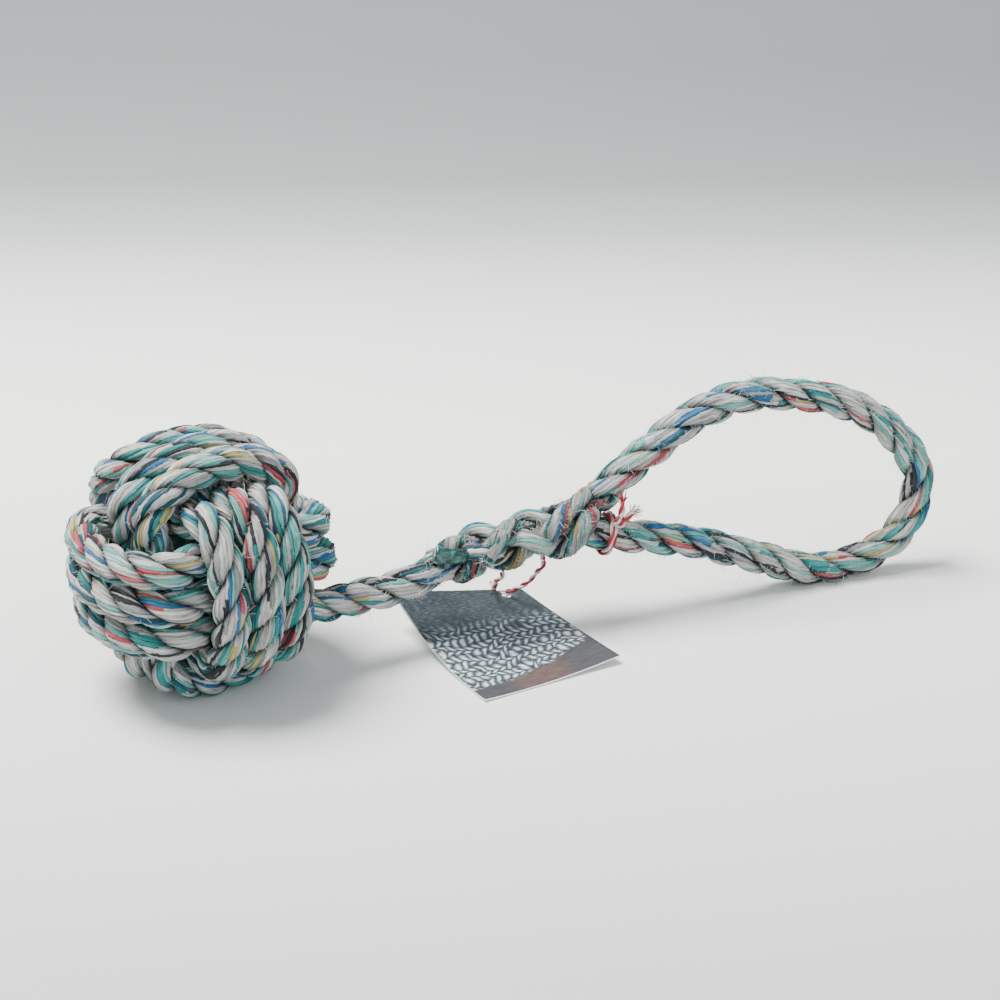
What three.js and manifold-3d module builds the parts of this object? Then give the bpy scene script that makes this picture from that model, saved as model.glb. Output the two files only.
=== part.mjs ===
// Rope dog toy: a ball knot worked over a core, a short shank of the same rope, an eye splice
// that closes the hand loop, and a printed card tied on with two-colour twine.
// Millimetres, +Z up. The origin is the middle of the knot's rest face, +X runs to the loop.

import * as THREE from 'three';
import { mergeVertices } from 'three/addons/utils/BufferGeometryUtils.js';
import Module from 'manifold-3d';

const wasm = await Module();
wasm.setup();

// Driving dimensions
const ropeDia = 12; // three-strand rope, lying free
const packedRopeDia = 10.5; // the same rope squeezed in the knot
const squeezedRopeDia = 8.8; // the standing part where the splice grips it
const strandDia = 5; // one strand of the rope, opened out and tucked
const turnWidth = 12.4; // from one turn of the knot to the next
const innerTurnRadius = 24.8; // middle of the inner turns, from the knot's centre
const layerDepth = 13.4; // from the inner turns out to the outer ones
const settledWidth = 12.2; // turns that lie closer than this push apart
const touchGap = 0.3; // between pieces that touch
const twineDia = 1.6;
const cardWidth = 53;
const cardLength = 64;
const cardThickness = 0.6;
const cardHoleDia = 3.4;

// Shares and counts
const restCutShare = 0.1; // of the rope's diameter, flat where it stands
const turnsPerBand = 3;
const stepsPerTurn = 24;
const turnSides = 6;
const cordSides = 10;
const twineSides = 8;
const knotTurnDeg = 19.5; // the knot stands turned about Z by this
const handleTiltDeg = 5; // the loop's plane leans back by this

// Sizes that follow
const coreRadius = innerTurnRadius - packedRopeDia / 2 - touchGap * 1.3;
const ropeRestCut = ropeDia * restCutShare;
const tuckRadius = (squeezedRopeDia + strandDia) / 2 + touchGap;

const DEG = Math.PI / 180;
const vec = (x, y, z) => new THREE.Vector3(x, y, z);

// Finishes
const finish = (color, roughness) => new THREE.MeshStandardMaterial({ color, roughness, metalness: 0 });
const ropeFinish = finish(0xb9c6c2, 0.75);
const coreFinish = finish(0xc9a878, 0.8);
const twineFinish = finish(0xb4384a, 0.8);
const cardFinish = finish(0x7d8f98, 0.5);

const part = new THREE.Group();

function addPiece(name, geometry, material, parent = part) {
  const mesh = new THREE.Mesh(geometry, material);
  mesh.name = name;
  parent.add(mesh);
  return mesh;
}

// Solids: from a closed mesh to a manifold and back
function solid(geometry) {
  const bare = geometry.index ? geometry.toNonIndexed() : geometry.clone();
  bare.deleteAttribute('normal');
  bare.deleteAttribute('uv');
  const merged = mergeVertices(bare);
  return new wasm.Manifold(new wasm.Mesh({
    numProp: 3,
    vertProperties: Float32Array.from(merged.attributes.position.array),
    triVerts: Uint32Array.from(merged.index.array),
  }));
}

function geometryOf(manifold) {
  const { vertProperties, triVerts } = manifold.getMesh();
  const geometry = new THREE.BufferGeometry();
  geometry.setAttribute('position', new THREE.BufferAttribute(vertProperties, 3));
  geometry.setIndex(new THREE.BufferAttribute(triVerts, 1));
  geometry.computeVertexNormals();
  return geometry;
}

// Flat where the piece stands: everything below the given height comes away
function cutFlat(geometry, height) {
  geometry.computeBoundingBox();
  const { min, max } = geometry.boundingBox;
  const reach = ropeDia;
  const low = new THREE.BoxGeometry(max.x - min.x + reach, max.y - min.y + reach, reach);
  low.translate((min.x + max.x) / 2, (min.y + max.y) / 2, height - reach / 2);
  return geometryOf(solid(geometry).subtract(solid(low)));
}

// A tube along a list of points, of one thickness or one that a function gives by the share of
// its points, with a frame carried along it without twist
function tubeAlong(points, diameter, sides) {
  const count = points.length;
  const tangent = (i) => points[Math.min(i + 1, count - 1)].clone()
    .sub(points[Math.max(i - 1, 0)]).normalize();
  const start = tangent(0);
  let across = vec(0, 0, 1).addScaledVector(start, -start.z);
  if (across.length() < restCutShare) across = vec(1, 0, 0).addScaledVector(start, -start.x);
  const places = [];
  for (let i = 0; i < count; i += 1) {
    const along = tangent(i);
    across.addScaledVector(along, -across.dot(along)).normalize();
    const aside = along.clone().cross(across);
    const thickness = typeof diameter === 'function' ? diameter(i / (count - 1)) : diameter;
    for (let k = 0; k < sides; k += 1) {
      const angle = (2 * Math.PI * k) / sides;
      const rim = points[i].clone().addScaledVector(across, (Math.cos(angle) * thickness) / 2)
        .addScaledVector(aside, (Math.sin(angle) * thickness) / 2);
      places.push(rim.x, rim.y, rim.z);
    }
  }
  const faces = [];
  for (let i = 0; i + 1 < count; i += 1) {
    for (let k = 0; k < sides; k += 1) {
      const next = (k + 1) % sides;
      const [a, b] = [i * sides + k, i * sides + next];
      faces.push(a, b, b + sides, a, b + sides, a + sides);
    }
  }
  const last = (count - 1) * sides;
  for (let k = 1; k + 1 < sides; k += 1) faces.push(0, k + 1, k, last, last + k, last + k + 1);
  const geometry = new THREE.BufferGeometry();
  geometry.setAttribute('position', new THREE.Float32BufferAttribute(places, 3));
  geometry.setIndex(faces);
  geometry.computeVertexNormals();
  return geometry;
}

const curveOf = (route) => new THREE.CatmullRomCurve3(route, false, 'centripetal');

// A plain cord along a curve
function cordAlong(extrudePath, diameter, steps, sides = cordSides) {
  const section = new THREE.Shape();
  for (let k = 0; k < sides; k += 1) {
    const angle = (2 * Math.PI * k) / sides;
    const [x, y] = [(Math.cos(angle) * diameter) / 2, (Math.sin(angle) * diameter) / 2];
    if (k === 0) section.moveTo(x, y);
    else section.lineTo(x, y);
  }
  return new THREE.ExtrudeGeometry(section, { steps, bevelEnabled: false, extrudePath });
}

// The knot: three bands of turns, each over one neighbour and under the other.
// A band runs round its own axis. It lies on the inner sphere where the next band covers it
// and climbs to the outer sphere where it covers the third.
const climbStartDeg = 22; // from the middle of its inner stretch
const climbEndDeg = 50;
const smooth = (share) => {
  const t = Math.min(Math.max(share, 0), 1);
  return t * t * (3 - 2 * t);
};

function bandRadius(deg) {
  const fromInner = Math.abs(((((deg + 90) % 180) + 180) % 180) - 90);
  const climb = smooth((fromInner - climbStartDeg) / (climbEndDeg - climbStartDeg));
  return innerTurnRadius + layerDepth * climb;
}

class Band {
  // inner and outer are the directions of the first inner and outer stretch, side is the way
  // that the turns step along the axis, shiftDeg is where the first step lies, over spanDeg
  constructor(inner, outer, side, shiftDeg, spanDeg) {
    Object.assign(this, { inner, outer, side, shiftDeg, spanDeg });
  }

  offset(deg) {
    let turns = 0;
    for (let k = 0; k + 1 < turnsPerBand; k += 1) {
      turns += smooth((deg - this.shiftDeg - 360 * k) / this.spanDeg + 0.5);
    }
    return turnWidth * (turns - (turnsPerBand - 1) / 2);
  }

  at(deg) {
    const offset = this.offset(deg);
    const radius = Math.sqrt(bandRadius(deg) ** 2 - offset ** 2);
    return this.inner.clone().multiplyScalar(radius * Math.cos(deg * DEG))
      .addScaledVector(this.outer, radius * Math.sin(deg * DEG))
      .addScaledVector(this.side, offset);
  }
}

const level = new Band(vec(0, -1, 0), vec(-1, 0, 0), vec(0, 0, 1), 270, 100);
const facing = new Band(vec(0, 0, 1), vec(0, -1, 0), vec(-1, 0, 0), 315, 100);
const crown = new Band(vec(-1, 0, 0), vec(0, 0, 1), vec(0, -1, 0), 360, 120);
const stepDeg = 360 / stepsPerTurn;

function stretch(band, startDeg, endDeg) {
  const points = [];
  for (let deg = startDeg; deg <= endDeg; deg += stepDeg) points.push(band.at(deg));
  return points;
}

// Routes chosen by hand are in rope diameters
const ropeRoute = (shares) => shares.map(([x, y, z]) => vec(x, y, z).multiplyScalar(ropeDia));

// The rope comes out of the knot under the facing band, straight at its end
const exitShares = [
  [3.333, -2.175, -1.433], [2.892, -2.121, -1.421], [2.45, -2.067, -1.408], [1.79, -2, -1.23],
];
// It turns from the level band up to the facing band, and from there over to the crown band
const levelToFacingShares = [[1.57, 1.46, 1], [1.54, 0.98, 1.25], [1.375, 0.42, 1.54], [1.17, -0.08, 1.71]];
const facingToCrownShares = [[-1.25, 2.46, 1.5], [-1.46, 1.875, 2.125], [-1.25, 1.29, 2.625]];
const laidPoints = [
  ...ropeRoute(exitShares),
  ...stretch(level, -30, 930),
  ...ropeRoute(levelToFacingShares),
  ...stretch(facing, 15, 1005),
  ...ropeRoute(facingToCrownShares),
  ...stretch(crown, 75, 1050), // its end stays under the level band
];

// Points along a polyline, several to a step, each with the step it belongs to
const subSteps = 3;
function densePoints(points) {
  const dense = [];
  for (let i = 0; i + 1 < points.length; i += 1) {
    for (let k = 0; k < subSteps; k += 1) {
      const share = k / subSteps;
      dense.push({ place: points[i].clone().lerp(points[i + 1], share), step: i, share });
    }
  }
  const last = points.length - 1;
  dense.push({ place: points[last].clone(), step: last - 1, share: 1 });
  return dense;
}

// The least gap of a tube to itself, over places at least five steps apart along it
const stepsApart = 5;
function leastGap(points, diameter) {
  const dense = densePoints(points);
  let least = Infinity;
  for (let i = 0; i < dense.length; i += 1) {
    for (let j = i + stepsApart * subSteps; j < dense.length; j += 1) {
      least = Math.min(least, dense[i].place.distanceTo(dense[j].place));
    }
  }
  return least - diameter;
}

// The turns settle beside each other: places that lie closer than settledWidth push apart, the
// pushes are evened out along the rope, and nothing sinks below the inner turns' sphere
const settlePasses = 200;
const pushShare = 0.5;
const easeShare = 0.3;
function settle(laid, heldSteps) {
  const count = laid.length;
  let shifts = laid.map(() => vec(0, 0, 0));
  let points = laid;
  for (let pass = 0; pass < settlePasses; pass += 1) {
    const dense = densePoints(points);
    const pushes = laid.map(() => vec(0, 0, 0));
    const weights = laid.map(() => 0);
    const push = ({ step, share }, by, way) => {
      pushes[step].addScaledVector(by, way * (1 - share));
      pushes[step + 1].addScaledVector(by, way * share);
      weights[step] += 1 - share;
      weights[step + 1] += share;
    };
    for (let i = 0; i < dense.length; i += 1) {
      for (let j = i + stepsApart * subSteps; j < dense.length; j += 1) {
        const by = dense[j].place.clone().sub(dense[i].place);
        const apart = by.length();
        if (apart < settledWidth) {
          by.multiplyScalar((settledWidth - apart) / apart / 2);
          push(dense[i], by, -1);
          push(dense[j], by, 1);
        }
      }
    }
    const moved = shifts.map((shift, i) => shift.clone()
      .addScaledVector(pushes[i], pushShare / Math.max(weights[i], 1)));
    shifts = moved.map((shift, i) => shift.clone().multiplyScalar(1 - easeShare)
      .addScaledVector(moved[Math.max(i - 1, 0)], easeShare / 2)
      .addScaledVector(moved[Math.min(i + 1, count - 1)], easeShare / 2));
    points = laid.map((place, i) => {
      if (i < heldSteps) return place;
      const settled = place.clone().add(shifts[i]);
      if (settled.length() < innerTurnRadius) settled.setLength(innerTurnRadius);
      shifts[i] = settled.clone().sub(place);
      return settled;
    });
  }
  return points;
}

const turnPoints = settle(laidPoints, exitShares.length);
console.log('fist_turns: least gap to itself', leastGap(turnPoints, packedRopeDia).toFixed(2), 'mm');

const turnsTube = tubeAlong(turnPoints, packedRopeDia, turnSides);
turnsTube.computeBoundingBox();
const turnsFlat = turnsTube.boundingBox.min.z + packedRopeDia * restCutShare;
const knot = new THREE.Group();
knot.position.set(0, 0, -turnsFlat);
knot.rotation.z = knotTurnDeg * DEG;
part.add(knot);
knot.updateMatrixWorld();

addPiece('core_ball', new THREE.SphereGeometry(coreRadius, 24, 16), coreFinish, knot);
addPiece('fist_turns', cutFlat(turnsTube, turnsFlat), ropeFinish, knot);

// The handle lies in one plane that leans back: a share pair is along X and up, and the depth
// follows from the height
const planeDepth = -0.667 * ropeDia; // the plane at floor height
const inPlane = (x, z) => vec(x, planeDepth + z * Math.tan(handleTiltDeg * DEG), z);
const planeRoute = (shares) => shares.map(([x, z]) => inPlane(x * ropeDia, z * ropeDia));

// A stretch of a longer cord, by the share of its length, so that neighbours meet end to end
class Stretch extends THREE.Curve {
  constructor(whole, fromShare, toShare) {
    super();
    Object.assign(this, { whole, fromShare, toShare });
  }

  getPoint(t, target = vec(0, 0, 0)) {
    return this.whole.getPointAt(this.fromShare + (this.toShare - this.fromShare) * t, target);
  }

  getTangent(t, target = vec(0, 0, 0)) {
    return this.whole.getTangentAt(this.fromShare + (this.toShare - this.fromShare) * t, target);
  }
}

const exitStart = knot.localToWorld(turnPoints[0].clone());
const exitWay = exitStart.clone().sub(knot.localToWorld(turnPoints[1].clone())).normalize();

// Shank: from the knot to the splice, in one bend that keeps the direction of both ends
const standingShares = [[6.1, 2.14], [7.6, 2.6], [8.83, 2.8], [9.85, 2.915], [10.7, 2.9], [11.5, 2.69]];
const standing = planeRoute(standingShares);
const shankReach = 0.75 * ropeDia; // how far each end pulls the bend along its direction
const shankEnd = standing[0].clone().sub(standing[1]).setLength(touchGap).add(standing[0]);
const shankRoute = [
  exitStart.clone().addScaledVector(exitWay, touchGap),
  exitStart.clone().addScaledVector(exitWay, touchGap + shankReach),
  shankEnd.clone().sub(standing[1]).setLength(shankReach).add(shankEnd),
  shankEnd,
];
const standingCurve = curveOf(standing);
const standingLength = standingCurve.getLength();
addPiece('shank', cordAlong(new THREE.CubicBezierCurve3(...shankRoute), ropeDia, 12), ropeFinish);
// The rope goes into the splice at its full thickness and is squeezed within the first stretch
const squeezeLength = 0.65 * ropeDia;
const standingSteps = 32;
const standingDia = (share) => squeezedRopeDia
  + (ropeDia - squeezedRopeDia) * (1 - smooth((share * standingLength) / squeezeLength));
addPiece(
  'splice_standing_part',
  tubeAlong(standingCurve.getSpacedPoints(standingSteps), standingDia, cordSides),
  ropeFinish,
);

// Loop: from the throat of the splice up, round and back under
const loopShares = [
  [11.53, 3.72], [12.29, 4.31], [13.25, 4.93], [14.85, 5.87], [16.48, 6.18], [18.13, 5.975],
  [19.83, 5.46], [21.24, 4.49], [22.17, 3.26], [22.21, 2.125], [21.54, 1.075], [20.33, 0.53],
  [18.6, 0.44], [16.87, 1.05], [15.18, 1.717], [13.55, 2.183], [12.2, 2.5], [11.53, 2.68],
];
const loopRoute = planeRoute(loopShares);
const loopCurve = curveOf(loopRoute);
const gapShare = touchGap / loopCurve.getLength();
const upperNeckShare = 0.135;
const lowerNeckShare = 0.865;
const upperNeck = new Stretch(loopCurve, 0, upperNeckShare);
const bowStretch = new Stretch(loopCurve, upperNeckShare + gapShare, lowerNeckShare - gapShare);
const lowerNeck = new Stretch(loopCurve, lowerNeckShare, 1);
addPiece('loop_neck_upper', cordAlong(upperNeck, ropeDia, 8), ropeFinish);
const bow = cordAlong(bowStretch, ropeDia, 36);
bow.computeBoundingBox();
console.log('handle_loop: lowest', bow.boundingBox.min.z.toFixed(2), 'mm before the flat');
addPiece('handle_loop', cutFlat(bow, 0), ropeFinish);
addPiece('loop_neck_lower', cordAlong(lowerNeck, ropeDia, 8), ropeFinish);

// Splice: the three strands of the loop's end wind round the standing part. Angles are about
// the standing part, from up towards the front.
const loopEnd = loopRoute[0];
const loopEndWay = loopRoute[0].clone().sub(loopRoute[1]).normalize();
const tuckLay = 5.5 * ropeDia; // along the rope for one round
const mergeLength = 1.9 * ropeDia; // from the throat to where the strands lie on the rope
const strandRing = 0.28 * ropeDia; // from the rope's middle to a strand's
const strandSteps = 18;
const tuckPhaseDeg = -40; // of the first strand once it lies on the rope

function splicePlace(run, radius, deg) {
  const along = Math.min(Math.max(1 - run / standingLength, 0), 1);
  const way = standingCurve.getTangentAt(along).negate();
  const up = vec(0, 0, 1).addScaledVector(way, -way.z).normalize();
  const front = up.clone().cross(way);
  const place = standingCurve.getPointAt(along).addScaledVector(up, radius * Math.cos(deg * DEG))
    .addScaledVector(front, radius * Math.sin(deg * DEG));
  return { place, up, front, way };
}

function tuckedStrand(index, firstShare, lengthShare) {
  const ringUp = vec(0, 0, 1).addScaledVector(loopEndWay, -loopEndWay.z).normalize();
  const ringFront = ringUp.clone().cross(loopEndWay);
  const ringDeg = 120 * index;
  const start = loopEnd.clone().addScaledVector(loopEndWay, touchGap + strandDia / 4)
    .addScaledVector(ringUp, strandRing * Math.cos(ringDeg * DEG))
    .addScaledVector(ringFront, strandRing * Math.sin(ringDeg * DEG));
  const throat = splicePlace(0, 0, 0);
  const apart = start.clone().sub(throat.place);
  const startRadius = Math.hypot(apart.dot(throat.up), apart.dot(throat.front));
  const startDeg = Math.atan2(apart.dot(throat.front), apart.dot(throat.up)) / DEG;
  const points = [start];
  const lastRun = standingLength * lengthShare;
  const firstRun = strandDia * firstShare;
  for (let i = 0; i <= strandSteps; i += 1) {
    const run = firstRun + ((lastRun - firstRun) * i) / strandSteps;
    const share = Math.sin(Math.min(run / mergeLength, 1) * 90 * DEG);
    const radius = startRadius + (tuckRadius - startRadius) * share;
    const deg = startDeg + (tuckPhaseDeg + ringDeg + (360 * run) / tuckLay - startDeg) * share;
    points.push(splicePlace(run, radius, deg).place);
  }
  return points;
}

// Which strand, where it leaves the loop's end, in its own diameters, and how far it runs
const tuckedShares = [[0, 2.2, 0.9], [1, 1.7, 0.84], [-1, 1.5, 0.78]];
['tucked_strand_a', 'tucked_strand_b', 'tucked_strand_c'].forEach((name, i) => {
  addPiece(name, cordAlong(curveOf(tuckedStrand(...tuckedShares[i])), strandDia, 30), ropeFinish);
});

// Twine: hitched round the lower leg, knotted in front, run back under the splice to the card
const hitchShare = 0.9885; // of the loop's length, where the twine goes round
const hitchCentre = loopCurve.getPointAt(hitchShare);
const hitchWay = loopCurve.getTangentAt(hitchShare);
const hitchRadius = (ropeDia + twineDia) / 2 + touchGap;
const hitch = new THREE.TorusGeometry(hitchRadius, twineDia / 2, twineSides, 36);
hitch.applyQuaternion(new THREE.Quaternion().setFromUnitVectors(vec(0, 0, 1), hitchWay));
hitch.translate(hitchCentre.x, hitchCentre.y, hitchCentre.z);
addPiece('twine_hitch', hitch, twineFinish);

const hitchUp = vec(0, 0, 1).addScaledVector(hitchWay, -hitchWay.z).normalize();
const hitchFront = hitchWay.clone().cross(hitchUp).negate();
const atHitch = (radius, deg) => hitchCentre.clone()
  .addScaledVector(hitchUp, radius * Math.cos(deg * DEG))
  .addScaledVector(hitchFront, radius * Math.sin(deg * DEG));
const knotSize = 2.4 * twineDia;
const knotDeg = 42; // from up towards the front
const knotPlace = atHitch(hitchRadius + (twineDia + knotSize) / 2 + touchGap, knotDeg);
const twineKnot = new THREE.SphereGeometry(knotSize / 2, 16, 12);
twineKnot.translate(knotPlace.x, knotPlace.y, knotPlace.z);
addPiece('twine_knot', twineKnot, twineFinish);

const fromKnot = (shares) => shares.map(([x, y, z]) => vec(x, y, z).multiplyScalar(knotSize).add(knotPlace));
const upperTailShares = [[0.12, -0.16, 0.6], [0.3, -0.1, 1.3], [0.36, 0.12, 2.3]];
const lowerTailShares = [[0.6, -0.12, 0.1], [1.1, -0.05, 0.45], [1.7, 0.12, 0.7]];
const upperTail = curveOf(fromKnot(upperTailShares));
const lowerTail = curveOf(fromKnot(lowerTailShares));
addPiece('twine_tail_upper', cordAlong(upperTail, twineDia, 5, twineSides), twineFinish);
addPiece('twine_tail_lower', cordAlong(lowerTail, twineDia, 5, twineSides), twineFinish);

// The two runs lie against the splice from behind. Each pair is run from the throat in rope
// diameters and the angle about the splice, from down towards the back.
const runRadius = tuckRadius + (strandDia + twineDia) / 2 + touchGap;
const besideHitch = hitchWay.clone().multiplyScalar(twineDia / 2 + touchGap);
const closeRun = 0.7 * ropeDia; // where a run has come out from the leg to the splice's side
function twineRun(startDeg, pairShares, endWay) {
  const start = atHitch(hitchRadius, 180 + startDeg).add(besideHitch);
  const points = pairShares.map(([share, deg]) => {
    const run = share * ropeDia;
    const radius = hitchRadius + (runRadius - hitchRadius) * smooth(run / closeRun);
    return splicePlace(run, radius, 180 + deg).place;
  });
  const last = points[points.length - 1];
  return [start, ...points, last.clone().addScaledVector(endWay, twineDia * 1.2)];
}
const down = vec(0, 0, -1);
const nearRunShares = [[0.35, 44], [0.8, 42], [1.2, 32], [1.58, 18]];
const farRunShares = [[0.35, 82], [0.8, 84], [1.5, 78], [2.2, 62], [2.75, 34], [2.95, 18]];
const nearRun = twineRun(40, nearRunShares, down);
const farRun = twineRun(78, farRunShares, down);
addPiece('twine_run_near', cordAlong(curveOf(nearRun), twineDia, 18, twineSides), twineFinish);
addPiece('twine_run_far', cordAlong(curveOf(farRun), twineDia, 26, twineSides), twineFinish);

// Card: its front edge touches the floor, and its rear left corner has curled up
const cardCorner = vec(6.617, -4.35, 0).multiplyScalar(ropeDia); // front left, seen from above
const cardTurnDeg = 10.5;
const cardAcross = vec(Math.cos(cardTurnDeg * DEG), Math.sin(cardTurnDeg * DEG), 0);
const cardBack = vec(-Math.sin(cardTurnDeg * DEG), Math.cos(cardTurnDeg * DEG), 0);
const [frontLeftLift, frontRightLift] = [0.125 * ropeDia, 0.3 * ropeDia]; // of its corners
const [rearLeftLift, rearRightLift] = [1.2 * ropeDia, 0.2 * ropeDia];
const rearPull = 0.65 * ropeDia; // the height that the rear edge bends towards between its corners
const cardSettle = 0.0765 * ropeDia; // down to where the front edge's middle lies on the floor
function cardLift(u, v) {
  const [side, rear] = [u / cardWidth, v / cardLength];
  const front = frontLeftLift * (1 - side) ** 2 * (1 - rear) ** 3 + frontRightLift * side ** 2 * (1 - rear);
  const back = rearLeftLift * (1 - side) ** 2 + 2 * rearPull * side * (1 - side) + rearRightLift * side ** 2;
  return front + back * rear ** 2 - cardSettle;
}
function cardPlace(u, v, height) {
  return cardCorner.clone().addScaledVector(cardAcross, u).addScaledVector(cardBack, v)
    .setZ(cardLift(u, v) + height);
}
const holeShares = [0.83, 0.925]; // across and back
const [holeU, holeV] = [holeShares[0] * cardWidth, holeShares[1] * cardLength];
const flatCard = new THREE.BoxGeometry(cardWidth, cardLength, cardThickness, 12, 14, 1);
flatCard.translate(cardWidth / 2, cardLength / 2, cardThickness / 2);
const cardHole = new THREE.CylinderGeometry(cardHoleDia / 2, cardHoleDia / 2, cardThickness * 3, 24);
cardHole.rotateX(Math.PI / 2);
cardHole.translate(holeU, holeV, 0);
const card = geometryOf(solid(flatCard).subtract(solid(cardHole)));
const cardPoints = card.attributes.position;
for (let i = 0; i < cardPoints.count; i += 1) {
  const place = cardPlace(cardPoints.getX(i), cardPoints.getY(i), cardPoints.getZ(i));
  cardPoints.setXYZ(i, place.x, place.y, place.z);
}
card.computeVertexNormals();
addPiece('hang_tag', card, cardFinish);

// The twine's loop: down from one run, through the card's hole, up behind its rear edge and over
// that to the other run
const hole = cardPlace(holeU, holeV, cardThickness / 2);
const nearEnd = nearRun[nearRun.length - 1].clone().addScaledVector(down, touchGap);
const farEnd = farRun[farRun.length - 1].clone().addScaledVector(down, touchGap);
const fromHole = (x, y, z) => vec(x, y, z).multiplyScalar(twineDia).add(hole);
const leadLength = twineDia; // straight down at both ends
const loopOfTwine = [
  nearEnd,
  nearEnd.clone().addScaledVector(down, leadLength),
  fromHole(4.1, -7.6, 8.3),
  fromHole(3.2, -6, 5.8),
  fromHole(2, -4.3, 4),
  fromHole(0.9, -2.4, 2.5),
  fromHole(0.2, -0.5, 0.8),
  fromHole(-0.35, 0.9, -1),
  fromHole(-0.75, 2.6, -1.4),
  fromHole(-1.05, 4.2, -1.05),
  fromHole(-1.4, 5, 0.2),
  fromHole(-1.8, 4.4, 1.6),
  fromHole(-2.3, 2.8, 2.2),
  fromHole(-3, 0, 2.6),
  fromHole(-3.8, -3, 4.6),
  fromHole(-4.5, -5.8, 7.2),
  farEnd.clone().addScaledVector(down, leadLength),
  farEnd,
];
addPiece('twine_loop', cordAlong(curveOf(loopOfTwine), twineDia, 44, twineSides), twineFinish);

export default part;
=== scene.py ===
"""Looks of the rope dog toy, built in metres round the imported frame.

The whole toy is one three-strand rope: ball knot, shank, eye splice and hand loop. A card hangs
on it by a red and white twine. Every rope is laid from its own strands along the part's routes.
"""

import logging
import math
from dataclasses import dataclass, field
from enum import Enum
from typing import Sequence, Union

import bmesh
import bpy
import numpy as np
from mathutils import Matrix, Vector

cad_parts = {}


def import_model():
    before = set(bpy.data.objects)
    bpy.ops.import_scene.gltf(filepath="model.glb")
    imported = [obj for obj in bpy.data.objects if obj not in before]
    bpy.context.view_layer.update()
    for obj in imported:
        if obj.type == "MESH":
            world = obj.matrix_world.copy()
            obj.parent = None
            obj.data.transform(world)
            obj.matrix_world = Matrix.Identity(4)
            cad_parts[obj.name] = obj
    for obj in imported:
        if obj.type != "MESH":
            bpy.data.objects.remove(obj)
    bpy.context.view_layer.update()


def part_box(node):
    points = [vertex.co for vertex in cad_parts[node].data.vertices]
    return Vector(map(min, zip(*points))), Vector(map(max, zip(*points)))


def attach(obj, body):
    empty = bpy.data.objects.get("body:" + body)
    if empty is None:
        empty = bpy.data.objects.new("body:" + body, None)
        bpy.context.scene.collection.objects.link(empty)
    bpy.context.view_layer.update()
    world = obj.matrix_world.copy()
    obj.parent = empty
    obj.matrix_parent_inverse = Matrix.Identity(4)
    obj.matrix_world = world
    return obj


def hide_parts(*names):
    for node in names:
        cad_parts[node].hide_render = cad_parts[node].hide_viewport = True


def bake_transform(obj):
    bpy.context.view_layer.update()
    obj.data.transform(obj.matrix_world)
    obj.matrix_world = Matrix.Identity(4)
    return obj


log = logging.getLogger("rope_toy")

MM = 0.001
FULL = 2 * math.pi
THIRD = math.radians(120)
SKY = np.array([0.0, 0.0, 1.0])
FLOOR_GAP = 0.05 * MM  # what lies on the floor keeps this far above it
STRAND_SPAN = 16.0     # across coordinate from one strand to the next
YARNS = 12             # in one strand

Array = np.ndarray
Material = bpy.types.Material
Piece = bpy.types.Object
Route = Sequence[Sequence[float]]
Stops = Sequence[tuple[float, str]]
Value = Union["Wire", float]
Colour = Union["Wire", str]

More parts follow.
